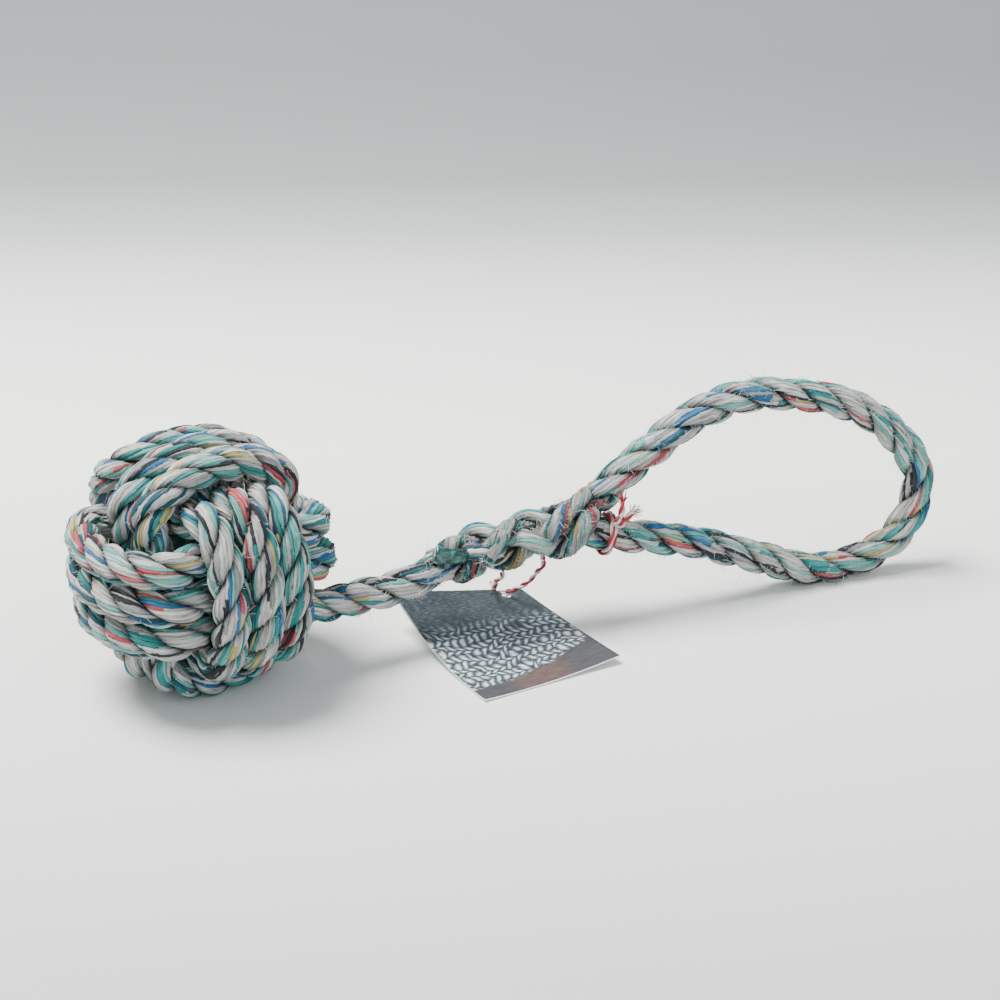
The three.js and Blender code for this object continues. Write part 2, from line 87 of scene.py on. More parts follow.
# Route of the rope through the ball knot, in millimetres, from the shank to its hidden end
KNOT_ROUTE = """
46.4 -11.2 24.4, 41.2 -12.4 24.5, 36.0 -13.6 24.7, 28.3 -15.4 26.8, 18.9 -16.1 30.0,
12.3 -18.1 29.9, 7.2 -20.7 29.9, 1.6 -21.9 29.8, -4.7 -24.7 29.8, -15.4 -32.3 29.7,
-24.0 -28.2 29.6, -30.4 -21.1 29.6, -34.7 -12.5 29.6, -36.7 -3.1 29.6, -36.2 6.4 29.6,
-32.1 15.1 29.7, -19.0 16.1 29.9, -12.4 18.0 29.9, -7.2 20.7 29.9, -1.6 21.9 29.9,
4.8 24.7 29.8, 15.5 32.3 29.7, 24.3 28.6 30.8, 31.1 21.7 32.8, 36.0 13.1 35.4, 38.3 3.4 38.1,
37.9 -6.7 40.3, 33.8 -15.8 41.6, 21.1 -17.8 41.8, 14.2 -20.4 41.8, 8.4 -23.4 41.8,
2.0 -24.8 41.7, -5.0 -27.1 41.7, -15.9 -33.5 41.7, -24.8 -29.1 41.7, -31.5 -21.7 41.7,
-36.0 -12.8 41.7, -38.1 -3.0 41.7, -37.6 7.0 41.7, -33.5 16.0 41.7, -20.9 17.9 41.8,
-14.0 20.5 41.8, -8.1 23.5 41.8, -1.8 24.8 41.8, 5.3 27.1 41.9, 16.3 33.6 42.0, 25.2 29.2 43.2,
31.7 21.6 45.4, 35.9 12.6 48.1, 37.4 2.8 50.7, 36.2 -6.8 52.7, 31.8 -15.3 53.7,
18.7 -16.2 53.7, 12.1 -18.0 53.6, 7.0 -20.6 53.5, 1.3 -21.8 53.5, -5.0 -24.5 53.5,
-15.7 -32.0 53.7, -24.3 -28.1 53.8, -30.8 -21.2 53.8, -35.3 -12.9 53.8, -37.5 -3.9 53.8,
-37.3 5.4 53.8, -33.7 13.8 53.6, -21.2 14.6 53.5, -15.2 16.6 53.6, -10.6 19.2 53.9,
-5.6 20.5 54.4, 0.1 23.1 54.8, 7.1 21.9 54.9, 9.0 16.4 58.3, 10.4 9.7 61.9, 11.0 3.3 63.6,
11.8 -1.6 63.4, 14.6 -8.0 63.7, 19.1 -19.8 67.0, 21.5 -26.1 60.1, 22.9 -29.6 51.2,
23.4 -30.8 41.6, 23.1 -29.7 32.0, 21.9 -26.3 23.1, 19.6 -20.0 16.4, 15.4 -8.1 19.8,
13.2 -1.6 20.3, 11.3 3.9 19.6, 9.4 9.3 20.4, 7.2 15.9 19.9, 3.0 27.8 16.5, 0.8 34.2 23.2,
-0.3 37.7 32.0, -0.6 38.9 41.5, -1.3 37.6 51.2, -2.2 33.9 60.5, -2.6 26.9 67.9, -1.1 14.3 65.8,
-1.0 6.6 66.2, -0.4 -0.1 67.1, 1.4 -6.3 66.3, 3.9 -13.2 66.0, 8.2 -25.0 68.4, 10.6 -31.4 61.2,
12.0 -35.0 51.9, 12.5 -36.2 41.9, 12.1 -35.0 31.9, 10.9 -31.4 22.6, 8.7 -24.9 15.4,
4.5 -13.1 17.8, 2.1 -6.2 17.6, 0.0 -0.1 16.8, -2.1 6.0 17.6, -4.5 12.9 17.8, -8.7 24.7 15.3,
-10.9 31.2 22.4, -12.2 34.9 31.6, -12.6 36.1 41.5, -13.3 34.4 51.4, -14.1 30.0 60.5,
-14.3 22.4 67.3, -12.7 9.3 64.0, -12.4 1.6 63.0, -11.6 -4.2 63.2, -9.8 -9.6 62.6,
-7.5 -16.0 63.2, -3.4 -27.9 66.7, -1.1 -34.2 59.9, 0.1 -37.7 51.1, 0.6 -38.8 41.5,
0.2 -37.7 32.0, -0.9 -34.2 23.1, -3.0 -27.8 16.4, -7.1 -15.8 19.9, -9.3 -9.2 20.4,
-11.2 -3.8 19.7, -13.1 1.6 20.5, -15.5 8.1 20.1, -19.9 20.0 16.7, -22.5 26.3 23.5,
-24.0 29.7 32.5, -24.8 30.8 42.1, -24.7 29.6 51.8, -25.5 23.6 60.7, -25.6 16.0 68.4,
-20.5 10.2 74.4, -13.4 9.1 77.6, -3.9 12.3 78.5, 5.7 15.4 76.9, 14.7 18.4 73.0, 21.6 20.6 66.1,
18.6 19.4 53.4, 17.8 19.1 46.5, 18.1 19.2 40.9, 17.0 18.8 35.3, 17.2 18.9 28.6, 20.2 20.1 16.1,
13.7 17.9 9.4, 5.3 15.0 5.8, -3.8 11.9 4.6, -12.8 8.8 5.8, -21.3 6.0 9.5, -27.6 3.4 16.1,
-24.5 3.2 28.5, -24.3 1.4 35.4, -25.0 -1.0 41.5, -23.9 -3.1 47.9, -23.2 -5.1 55.3,
-25.0 -7.4 67.8, -18.1 -5.7 74.7, -9.4 -2.7 78.5, 0.0 0.5 79.8, 9.4 3.7 78.5, 18.1 6.7 74.7,
24.8 9.0 67.8, 22.6 8.1 55.4, 22.7 8.1 48.0, 23.5 8.3 41.6, 22.7 8.0 35.2, 22.5 8.0 27.9,
24.7 8.8 15.4, 17.9 6.5 8.6, 9.1 3.5 4.8, -0.4 0.3 3.5, -9.8 -2.9 4.9, -18.7 -5.9 8.8,
-25.4 -8.7 15.7, -22.7 -9.1 28.3, -22.0 -11.2 35.7, -21.5 -13.6 42.0, -19.3 -15.3 48.1,
-18.2 -17.0 54.9, -20.4 -19.2 67.2, -13.7 -17.4 73.8, -5.3 -14.4 77.4, 3.7 -11.2 78.7,
12.7 -8.0 77.5, 21.1 -5.1 73.7, 27.4 -2.8 67.0, 24.2 -4.0 54.3, 23.8 -4.1 47.4, 24.6 -3.9 41.6,
23.9 -4.1 35.9, 24.4 -4.0 29.0, 27.7 -2.9 16.3, 21.4 -5.2 9.5, 13.0 -8.2 5.7, 4.1 -11.5 4.4,
-4.9 -14.8 5.6, -13.3 -17.8 9.1, -19.6 -20.1 15.7, -16.3 -19.0 28.1
"""

# Bend of the shank, its two ends and their two pulls
SHANK_BEND = ((46.71, -11.19, 24.38), (55.49, -9.24, 24.14),
              (64.31, -6.00, 22.95), (72.91, -5.76, 25.59))

# Along X and up, in rope diameters, in the handle's own plane
STANDING_SHARES = ((6.1, 2.14), (7.6, 2.6), (8.83, 2.8), (9.85, 2.915), (10.7, 2.9), (11.5, 2.69))
LOOP_SHARES = (
    (11.53, 3.72), (12.29, 4.31), (13.25, 4.93), (14.85, 5.87), (16.48, 6.18), (18.13, 5.975),
    (19.83, 5.46), (21.24, 4.49), (22.17, 3.26), (22.21, 2.125), (21.54, 1.075), (20.33, 0.53),
    (18.6, 0.44), (16.87, 1.05), (15.18, 1.717), (13.55, 2.183), (12.2, 2.5), (11.53, 2.68),
)


class Yarn(Enum):
    """Colours of the yarns, as they look in daylight."""

    WHITE = "efede9"
    PALE = "d6d4d1"
    GREY = "a9acae"
    MINT = "7fd0c8"
    TEAL = "36a3a3"
    DEEP = "106070"
    CHARCOAL = "30343c"
    BLUE = "2c7fb8"
    SAND = "dccb86"
    SALMON = "d65a63"


# Twelve yarns round each of the rope's three strands
YARN_LAY = (
    "WHITE PALE MINT TEAL WHITE PALE CHARCOAL GREY WHITE PALE BLUE WHITE",
    "WHITE PALE TEAL MINT WHITE CHARCOAL GREY WHITE MINT WHITE PALE TEAL",
    "PALE WHITE MINT TEAL WHITE PALE CHARCOAL WHITE PALE GREY WHITE MINT",
)
STRAY_YARNS = "WHITE MINT SAND WHITE TEAL PALE SALMON WHITE BLUE MINT CHARCOAL DEEP"


def linear(code: str) -> tuple[float, float, float, float]:
    """Turn a daylight colour code into the linear colour that a shader takes.

    Args:
        code: six hexadecimal digits.

    Returns:
        Red, green, blue and alpha.
    """
    parts = [int(code[i:i + 2], 16) / 255 for i in (0, 2, 4)]
    return (*(c / 12.92 if c <= 0.04045 else ((c + 0.055) / 1.055) ** 2.4 for c in parts), 1.0)


def smooth(share: Array) -> Array:
    """Ease from 0 to 1 with level ends."""
    t = np.clip(share, 0, 1)
    return t * t * (3 - 2 * t)


def unit(rows: Array) -> Array:
    """Scale each row to length one."""
    return rows / np.maximum(np.linalg.norm(rows, axis=-1, keepdims=True), 1e-12)


def upright(way: Array) -> tuple[Array, Array]:
    """Give two directions square to a way: the one nearest to up, and the one towards its front."""
    up = unit(SKY - way * way[..., 2:])
    return up, np.cross(way, up)


def gaps(points: Array) -> Array:
    """Distances between neighbouring points."""
    return np.linalg.norm(np.diff(points, axis=0), axis=1)


def nearest(points: Array, place: Array) -> int:
    """Index of the point nearest to a place."""
    return int(np.argmin(np.linalg.norm(points - place, axis=1)))


def resample(points: Array, step: float) -> Array:
    """Space points evenly along their own line.

    Args:
        points: the line's points.
        step: the wanted distance between neighbours.

    Returns:
        The new points, ends kept.
    """
    run = np.r_[0, np.cumsum(gaps(points))]
    at = np.linspace(0, run[-1], max(2, int(round(run[-1] / step)) + 1))
    return np.stack([np.interp(at, run, points[:, k]) for k in range(3)], axis=1)


def curve_through(route: Route, per_span: int = 24) -> Array:
    """Draw the centripetal curve through a route, as the part does.

    Args:
        route: the points that it passes through.
        per_span: samples between two of them.

    Returns:
        Dense points of the curve.
    """
    p = np.array(route, float)
    p = np.vstack([2 * p[0] - p[1], p, 2 * p[-1] - p[-2]])
    t = np.linspace(0, 1, per_span, endpoint=False)[:, None]
    spans = []
    for a, b, c, d in zip(p[:-3], p[1:-2], p[2:-1], p[3:]):
        k0, k1, k2 = (np.linalg.norm(v) ** 0.5 for v in (b - a, c - b, d - c))
        m1 = ((b - a) / k0 - (c - a) / (k0 + k1) + (c - b) / k1) * k1
        m2 = ((c - b) / k1 - (d - b) / (k1 + k2) + (d - c) / k2) * k1
        spans.append(b + m1 * t + (3 * (c - b) - 2 * m1 - m2) * t ** 2
                     + (2 * (b - c) + m1 + m2) * t ** 3)
    return np.vstack([*spans, p[-2:-1]])


def rest_on_floor(points: Array, give: float = 1.5 * MM) -> Array:
    """Squeeze what would sink into the floor, so that it rests there.

    Args:
        points: positions of any shape whose last axis is x, y, z.
        give: height below which the squeeze sets in.

    Returns:
        The positions, all above the floor.
    """
    z = points[..., 2]
    low = np.minimum(z, give)
    points[..., 2] = np.where(z < give, give * np.exp((low - give) / give), z)
    return points


def link(name: str, data: bpy.types.ID) -> Piece:
    """Put new data into the scene as an object."""
    made = bpy.data.objects.new(name, data)
    bpy.context.scene.collection.objects.link(made)
    return made


def as_piece(name: str, bm: bmesh.types.BMesh, *finishes: Material) -> Piece:
    """Turn a bmesh into a smooth object at the origin.

    Args:
        name: the piece's name.
        bm: its shape, which is freed.
        finishes: its materials.

    Returns:
        The object.
    """
    mesh = bpy.data.meshes.new(name)
    bm.to_mesh(mesh)
    bm.free()
    mesh.polygons.foreach_set("use_smooth", np.ones(len(mesh.polygons), bool))
    for finish in finishes:
        mesh.materials.append(finish)
    log.info("%s: %d faces", name, len(mesh.polygons))
    return link(name, mesh)


def settle(piece: Piece, slot: str, body: str, *nodes: str) -> None:
    """Let a piece ride on a body, in the place of any nodes that it stands for.

    Args:
        piece: the piece.
        slot: not used.
        body: the body that it rides on.
        nodes: the CAD nodes that it replaces.
    """
    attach(piece, body)
    if nodes:
        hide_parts(*nodes)


@dataclass
class Line:
    """A centreline at an even step, with a frame that doesn't twist about it."""

    points: Array
    way: Array = field(init=False)
    up: Array = field(init=False)
    side: Array = field(init=False)
    run: Array = field(init=False)

    def __post_init__(self) -> None:
        """Work out the directions and the distance along the line."""
        self.way = unit(np.gradient(self.points, axis=0))
        self.run = np.r_[0, np.cumsum(gaps(self.points))]
        first = SKY if abs(self.way[0, 2]) < 0.9 else np.array([1.0, 0.0, 0.0])
        up = np.empty_like(self.points)
        up[0] = unit(first - self.way[0] * (first @ self.way[0]))
        for i in range(len(up) - 1):
            v1 = self.points[i + 1] - self.points[i]
            c1 = v1 @ v1
            flipped = up[i] - v1 * (2 / c1) * (v1 @ up[i])
            v2 = self.way[i + 1] - (self.way[i] - v1 * (2 / c1) * (v1 @ self.way[i]))
            c2 = v2 @ v2
            up[i + 1] = flipped - v2 * (2 / c2) * (v2 @ flipped) if c2 > 1e-18 else flipped
        self.up = unit(up)
        self.side = np.cross(self.way, self.up)

    def around(self, angle: Array) -> Array:
        """Give the outward direction at an angle about the line, for every point."""
        return np.cos(angle)[:, None] * self.up + np.sin(angle)[:, None] * self.side


@dataclass
class Tube:
    """Rings of one closed tube, or of many short ones, and its place in its material."""

    rings: Array
    hidden: Array | None = None                # how deep each point lies in the rope, by which the rope finish paints shade
    across: tuple[float, float] = (0.0, 0.0)
    along: tuple[float, float] = (0.0, 0.0)
    steps: int = 0                             # rings in each of many tubes, 0 for one tube


class Lathe:
    """Collects tubes and turns them into one mesh object."""

    def __init__(self, name: str) -> None:
        """Start an empty piece."""
        self.name = name
        self.bm = bmesh.new()

    @staticmethod
    def read(items: bpy.types.bpy_prop_collection, key: str, width: int, kind: type) -> Array:
        """Copy one property of a mesh's items into rows."""
        values = np.empty(len(items) * width, kind)
        items.foreach_get(key, values)
        return values.reshape(-1, width)

    def add(self, tube: Tube) -> None:
        """Wrap a grid into tubes, close their seams and their ends, and keep them.

        Args:
            tube: the rings, row by row.
        """
        rows, columns = tube.rings.shape[:2]
        part = bmesh.new()
        part.loops.layers.uv.verify()
        bmesh.ops.create_grid(part, x_segments=columns, y_segments=rows - 1, size=1, calc_uvs=True)
        if tube.steps:
            lowest = {face: min(v.co.y for v in face.verts) for face in part.faces}
            between = [face for face, y in lowest.items()
                       if round((y + 1) / 2 * (rows - 1)) % tube.steps == tube.steps - 1]
            bmesh.ops.delete(part, geom=between, context="FACES")
        mesh = bpy.data.meshes.new("grid")
        part.to_mesh(mesh)
        flat = self.read(mesh.vertices, "co", 3, np.float32)
        column = np.rint((flat[:, 0] + 1) / 2 * columns).astype(int) % columns
        row = np.rint((flat[:, 1] + 1) / 2 * (rows - 1)).astype(int)
        mesh.vertices.foreach_set("co", tube.rings[row, column].astype(np.float32).ravel())
        uv = self.read(mesh.uv_layers[0].data, "uv", 2, np.float32)
        if tube.steps:
            corner = self.read(mesh.loops, "vertex_index", 1, np.int32)[:, 0]
            uv[:, 0] = row[corner] // tube.steps + 0.5
        else:
            mesh.attributes.new("hidden", "FLOAT", "POINT").data.foreach_set(
                "value", tube.hidden[row, column].astype(np.float32))
            for axis, (low, high) in enumerate((tube.across, tube.along)):
                uv[:, axis] = low + (high - low) * uv[:, axis]
        mesh.uv_layers[0].data.foreach_set("uv", uv.ravel())
        part.clear()
        part.from_mesh(mesh)
        seam = 1e-8 if tube.steps else 1e-7  # fine fibres lie closer together
        bmesh.ops.remove_doubles(part, verts=part.verts, dist=seam)
        bmesh.ops.holes_fill(part, edges=[edge for edge in part.edges if edge.is_boundary], sides=0)
        part.to_mesh(mesh)
        part.free()
        self.bm.from_mesh(mesh)
        bpy.data.meshes.remove(mesh)

    def finish(self, material: Material) -> Piece:
        """Make the object, all of one finish."""
        return as_piece(self.name, self.bm, material)


# ---------------------------------------------------------------- finishes


class Wire:
    """One output of a node; arithmetic on it adds Math nodes."""

    def __init__(self, finish: "Finish", socket: bpy.types.NodeSocket) -> None:
        """Wrap a socket."""
        self.finish = finish
        self.socket = socket

    def math(self, operation: str, *others: Value) -> "Wire":
        """Add a Math node on this wire and other values."""
        return self.finish.node("Math", dict(enumerate((self, *others))), operation=operation)

    def __add__(self, other: Value) -> "Wire":
        """Sum."""
        return self.math("ADD", other)

    __radd__ = __add__

    def __mul__(self, other: Value) -> "Wire":
        """Product."""
        return self.math("MULTIPLY", other)

    __rmul__ = __mul__

    def __sub__(self, other: Value) -> "Wire":
        """Difference."""
        return self.math("SUBTRACT", other)

    def __rsub__(self, other: float) -> "Wire":
        """Difference from a number."""
        return self.finish.node("Math", {0: other, 1: self}, operation="SUBTRACT")

    def __truediv__(self, other: Value) -> "Wire":
        """Quotient."""
        return self.math("DIVIDE", other)

    def floor(self) -> "Wire":
        """Whole part."""
        return self.math("FLOOR")

    def above(self, limit: float) -> "Wire":
        """One where the value passes the limit, else zero."""
        return self.math("GREATER_THAN", limit)

    def between(self, low: float, high: float) -> "Wire":
        """Rise smoothly from 0 at low to 1 at high."""
        return self.finish.node("MapRange", {"Value": self, "From Min": low, "From Max": high}, "Result",
                                interpolation_type="SMOOTHSTEP")


class Finish:
    """A material under construction."""

    def __init__(self, name: str) -> None:
        """Start with a bare surface shader."""
        self.material = bpy.data.materials.new(name)
        self.material.use_nodes = True
        self.tree = self.material.node_tree

    def node(self, kind: str, sockets: dict | None = None, output: int | str = 0, stops: Stops = (),
             **settings) -> Wire:
        """Add any node.

        Args:
            kind: its type, without the prefix that all have.
            sockets: values, colour codes or wires by the input's name or number.
            output: which output is wanted.
            stops: a ramp's places from 0 to 1 and their colour codes.
            settings: its own properties, or its ramp's, set first.

        Returns:
            The wanted output.
        """
        node = self.tree.nodes.new(f"ShaderNode{kind}")
        own = node.color_ramp if stops else node
        for key, value in settings.items():
            setattr(own, key, value)
        for i, (place, code) in enumerate(stops):
            stop = own.elements[i] if i < 2 else own.elements.new(place)
            stop.position = place
            stop.color = linear(code)
        self.feed(node, sockets or {})
        return Wire(self, node.outputs[output])

    def feed(self, node: bpy.types.Node, sockets: dict) -> None:
        """Set or link inputs of a node.

        Args:
            node: the node.
            sockets: values, colour codes or wires by the input's name or number.
        """
        for key, value in sockets.items():
            if isinstance(value, Wire):
                self.tree.links.new(value.socket, node.inputs[key])
            else:
                node.inputs[key].default_value = linear(value) if isinstance(value, str) else value

    def surface(self, **sockets) -> Material:
        """Set or link inputs of the surface shader, with underscores for spaces."""
        self.feed(self.tree.nodes["Principled BSDF"], {k.replace("_", " "): v for k, v in sockets.items()})
        return self.material

    def ramp(self, factor: Wire, stops: Stops, stepped: bool = False) -> Wire:
        """Give a factor's colour on a ramp, whose steps may be hard."""
        return self.node("ValToRGB", {0: factor}, stops=stops,
                         interpolation="CONSTANT" if stepped else "LINEAR")

    def mix(self, factor: Value, low: Colour, high: Colour) -> Wire:
        """Mix two colours."""
        return self.node("Mix", {0: factor, 6: low, 7: high}, 2, data_type="RGBA")

    def scale(self, colour: Wire, factor: Wire) -> Wire:
        """Make a colour lighter or darker."""
        return self.node("VectorMath", {0: colour, "Scale": factor}, operation="SCALE")

    def vector(self, x: Value, y: Value, z: Value = 0.0) -> Wire:
        """Join three values."""
        return self.node("CombineXYZ", {"X": x, "Y": y, "Z": z})

    def flat(self, place: Wire) -> tuple[Wire, Wire]:
        """Split a place into its x and y."""
        x = self.node("SeparateXYZ", {0: place})
        return x, Wire(self, x.socket.node.outputs[1])

    def surface_place(self) -> tuple[Wire, Wire]:
        """Give the piece's own coordinates: across and along."""
        return self.flat(self.node("UVMap"))

    def object_place(self) -> Wire:
        """Give the place in the object."""
        return self.node("TexCoord", output="Object")

    def noise(self, place: Wire, detail: float = 2.0, roughness: float = 0.5, scale: float = 1.0) -> Wire:
        """Smooth noise at a place."""
        return self.node("TexNoise", {"Vector": place, "Scale": scale, "Detail": detail,
                                      "Roughness": roughness})

    def pick_pair(self, first: Wire, second: Wire) -> Wire:
        """Give a random number from 0 to 1 for each pair of values."""
        return self.node("TexWhiteNoise", {"Vector": self.vector(first, second)}, noise_dimensions="2D")

    def pick(self, value: Wire) -> Wire:
        """Give a random number from 0 to 1 for each value."""
        return self.node("TexWhiteNoise", {"W": value}, noise_dimensions="1D")

    def bump(self, height: Wire, distance: float, strength: float = 1.0) -> Wire:
        """Raise the surface by a height map."""
        return self.node("Bump", {"Strength": strength, "Distance": distance, "Height": height})


@dataclass(frozen=True)
class RopeFinish:
    """Soft cotton yarns of many colours, worn fuzzy, with painted shade in the rope's crevices and between
    its yarns.
    """

    name: str = "cotton_rope"
    stray_length: float = 34 * MM  # of a yarn in one colour
    stray_share: float = 0.42      # of the yarns that leave their strand's own order
    gain: float = 1.0              # how light it is

    def build(self) -> Material:
        """Make the material."""
        f = Finish(self.name)
        across, along = f.surface_place()
        strand = (across / STRAND_SPAN).floor()
        spot = across - strand * STRAND_SPAN
        streak = f.noise(f.vector(across * 3.2, along * 120.0), 4.0, 0.7)
        fray = f.noise(f.vector(across * 2.0, along * 420.0, 5.0))
        patch = f.noise(f.vector(across * 0.8, along * 90.0, 3.0), 3.0, 0.6)
        sway = f.noise(f.vector(across * 0.4, along * 75.0, 8.0), 1.0)
        ragged = spot + (fray - 0.5) + (sway - 0.5) * 2.4
        yarn = ragged.floor()
        own = strand * STRAND_SPAN + yarn
        share = (yarn + 0.5) / YARNS
        lays = [[(i / YARNS, Yarn[word].value) for i, word in enumerate(lay.split())]
                for lay in (*YARN_LAY, STRAY_YARNS)]
        colours = [f.ramp(share, lay, stepped=True) for lay in lays[:3]]
        colour = f.mix(strand.above(0.5), colours[0], colours[1])
        colour = f.mix(strand.above(1.5), colour, colours[2])
        stretch = (along / self.stray_length + f.pick(own) + fray * 0.07).floor()
        strays = f.pick_pair(own * 1.37 + 0.5, stretch * 2.11 + 0.5).math("LESS_THAN", self.stray_share)
        second = f.pick_pair(stretch * 3.7 + 0.5, own * 0.93 + 0.5)
        colour = f.mix(strays, colour, f.ramp(second, lays[3], stepped=True))
        # painted shade: the tone is darkened along each yarn's edges, in the gaps between yarns; the same
        # edges also sink the bump
        edge = (ragged - yarn - 0.5).math("ABSOLUTE").between(0.32, 0.5)
        tone = (streak * 1.42 + patch * 0.72 - edge * 0.2 - 0.47) * self.gain
        colour = f.scale(colour, tone.math("MAXIMUM", 0.04))
        whitened = streak.between(0.54, 0.74) * 0.2 + patch.between(0.54, 0.76) * 0.28
        # painted shade: the deeper a point lies in the rope, the more its colour is mixed toward dark teal
        # 0c1e27
        hidden = f.node("Attribute", output="Fac", attribute_name="hidden")
        shade = hidden.between(0.08, 0.5) * 0.48 + hidden.between(0.4, 0.85) * 0.49
        colour = f.mix(shade, f.mix(whitened, colour, "bcbab7"), "0c1e27")
        return f.surface(Base_Color=colour, Roughness=0.55 + streak * 0.3, Specular_IOR_Level=0.3,
                         Normal=f.bump(streak * 0.9 + patch * 0.5 + fray * 0.3 - edge * 0.3, 1.1 * MM))


@dataclass(frozen=True)
class TwineFinish:
    """Two plies of cotton, one red and one white."""

    name: str = "red_white_twine"
    plies: tuple[str, str] = ("90142a", "bdb7b2")

    def build(self) -> Material:
        """Make the material."""
        f = Finish(self.name)
        across, along = f.surface_place()
        streak = f.noise(f.vector(across * 4.0, along * 900.0), 3.0, 0.6)
        colour = f.mix((across / STRAND_SPAN).floor().above(0.5), *self.plies)
        return f.surface(Base_Color=f.scale(colour, 0.78 + streak * 0.42), Roughness=0.6 + streak * 0.2,
                         Normal=f.bump(streak, 0.12 * MM, 0.8))


@dataclass(frozen=True)
class FuzzFinish:
    """Loose fibre ends of the worn rope."""

    name: str = "loose_fibres"
    stops: Stops = ((0.0, "cfcdc9"), (0.58, "b9c6c2"), (0.74, "86bdb3"), (0.86, "5a5e62"), (0.95, "c4bda9"))

    def build(self) -> Material:
        """Make the material."""
        f = Finish(self.name)
        tint = f.pick(f.surface_place()[0].floor())
        return f.surface(Base_Color=f.ramp(tint, self.stops, stepped=True), Roughness=0.8)


@dataclass(frozen=True)
class LumpyFinish:
    """Plain stuff whose colour, gloss and relief follow one noise."""

    name: str
    scale: float
    detail: float
    stops: Stops
    relief: float
    strength: float = 1.0
    roughness: float = 0.9
    dulling: float = 0.0  # how much rougher the lumps are
    coat: float = 0.0

    def build(self) -> Material:
        """Make the material."""
        f = Finish(self.name)
        lumps = f.noise(f.object_place(), self.detail, scale=self.scale)
        return f.surface(Base_Color=f.ramp(lumps, self.stops), Coat_Weight=self.coat,
                         Roughness=self.roughness + lumps * self.dulling if self.dulling else self.roughness,
                         Normal=f.bump(lumps, self.relief, self.strength))


SEALED_END = LumpyFinish("sealed_strand_end", 420.0, 4.0,
                         ((0.3, "021316"), (0.52, "08403d"), (0.75, "2b7d75")),
                         0.6 * MM, strength=0.8, roughness=0.14, dulling=0.2, coat=0.25)
PACKED_COTTON = LumpyFinish("packed_cotton", 260.0, 4.0, ((0.3, "24424a"), (0.7, "6a7f80")), 1.2 * MM)
CARD_STOCK = LumpyFinish("card_stock", 900.0, 3.0, ((0.3, "dfe2e3"), (0.7, "efefed")),
                         0.03 * MM, strength=0.4, roughness=0.7)


@dataclass(frozen=True)
class CardFinish:
    """Printed card with a generic woven print and a plain band along its front edge."""

    name: str = "printed_card"
    width: float = 53.0
    length: float = 64.0
    stops: Stops = ((0.12, "030609"), (0.36, "1f282e"), (0.52, "566169"), (0.68, "97a2a8"), (0.9, "dbe1e4"))

    def build(self) -> Material:
        """Make the material."""
        f = Finish(self.name)
        across, along = f.surface_place()
        x, y = across * self.width, along * self.length
        drift = f.noise(f.vector(x * 0.09, y * 0.13))
        grain = f.noise(f.vector(x * 0.45, y * 3.6, 2.0), 5.0, 0.7)
        rows = y + (drift - 0.5) * 13.0 + (x * 0.13).math("SINE") * 2.6
        wave = (rows * 0.95).math("SINE")
        lean = wave.above(0.0) * 2.0 - 1.0
        twist = ((x + lean * rows * 0.7) * 2.1).math("SINE")
        braid = (wave.math("ABSOLUTE") * 0.65 + 0.2) * (twist * 0.4 + 0.62)
        hair = f.noise(f.vector(x * 1.5 + lean * y * 0.8, y * 2.8, 6.0), 5.0, 0.75)
        far = y.between(36.0, 50.0)
        tone = (braid * 0.6 + hair * 0.68 - 0.04) * (1.0 - far) + (grain * 0.95 + drift * 0.1 - 0.165) * far
        limit = 7.5 + (x / self.width).math("POWER", 2.2) * 12.0 + (drift - 0.5) * 5.0
        band = 1.0 - (y - limit).between(-0.8, 0.8)
        soft = f.noise(f.vector(x * 0.2, y * 0.9, 4.0), 3.0)
        plain = f.mix((x - 25.0).math("ABSOLUTE").between(4.0, 17.0), "8d7471", "696b72")
        colour = f.mix(band, f.ramp(tone, self.stops), f.scale(plain, 0.1 + soft * 0.38))
        return f.surface(Base_Color=colour, Roughness=0.4 + grain * 0.14, Coat_Weight=0.06,
                         Specular_IOR_Level=0.35, Normal=f.bump(grain, 0.015 * MM, 0.4))


@dataclass(frozen=True)
class FloorFinish:
    """Pale studio paper, with painted shade that makes it darker near the camera and a little darker far
    away.
    """

    name: str = "studio_paper"
    # painted shade: along the view the ramp darkens the paper near the camera and, more, far away up the
    # sweep
    stops: Stops = ((0.02, "b6bab8"), (0.0575, "c2c6c4"), (0.094, "cbcfcd"), (0.25, "e8e9e6"),
                    (0.344, "dbdedc"), (0.41, "c4c8c7"), (0.473, "a4a9a9"), (0.55, "8b9091"),
                    (0.6625, "868d8e"), (0.806, "8a9091"), (0.98, "969d9e"))

    def build(self) -> Material:
        """Make the material."""
        f = Finish(self.name)
        x, y = f.flat(f.object_place())
        away = (x * 0.35 + y * 0.937 + 0.2) / 1.6
        return f.surface(Base_Color=f.ramp(away, self.stops), Roughness=0.85, Specular_IOR_Level=0.2)


# ---------------------------------------------------------------- the rope


@dataclass
class StrandShape:
    """Section of one strand inside a laid rope."""

    ring: float = 3.42 * MM       # from the rope's middle to the strand's
    half_out: float = 2.58 * MM   # towards the outside
    half_side: float = 3.12 * MM  # sideways
    columns: int = 36
    groove: float = 0.26 * MM     # between two yarns
    wander: float = 0.16 * MM     # how uneven the yarns are
    yarn_lean: float = 1.85       # turns of the yarns against one turn of the strand


class Uneven:
    """Smooth seeded unevenness along a strand."""

    def __init__(self, seed: int) -> None:
        """Start from a seed."""
        self.dice = np.random.default_rng(seed)

    def along(self, rows: int, columns: int, width: int) -> Array:
        """Give noise of about unit size that changes slowly over the rows.

        Args:
            rows: how many rings.
            columns: how many separate lines.
            width: over how many rings it changes.

        Returns:
            An array of rows by columns.
        """
        raw = self.dice.standard_normal((rows + 4 * width, columns))
        window = np.hanning(2 * width + 1)
        window /= np.sqrt((window ** 2).sum())
        out = np.stack([np.convolve(raw[:, k], window, "same") for k in range(columns)], axis=1)
        return out[2 * width:2 * width + rows]


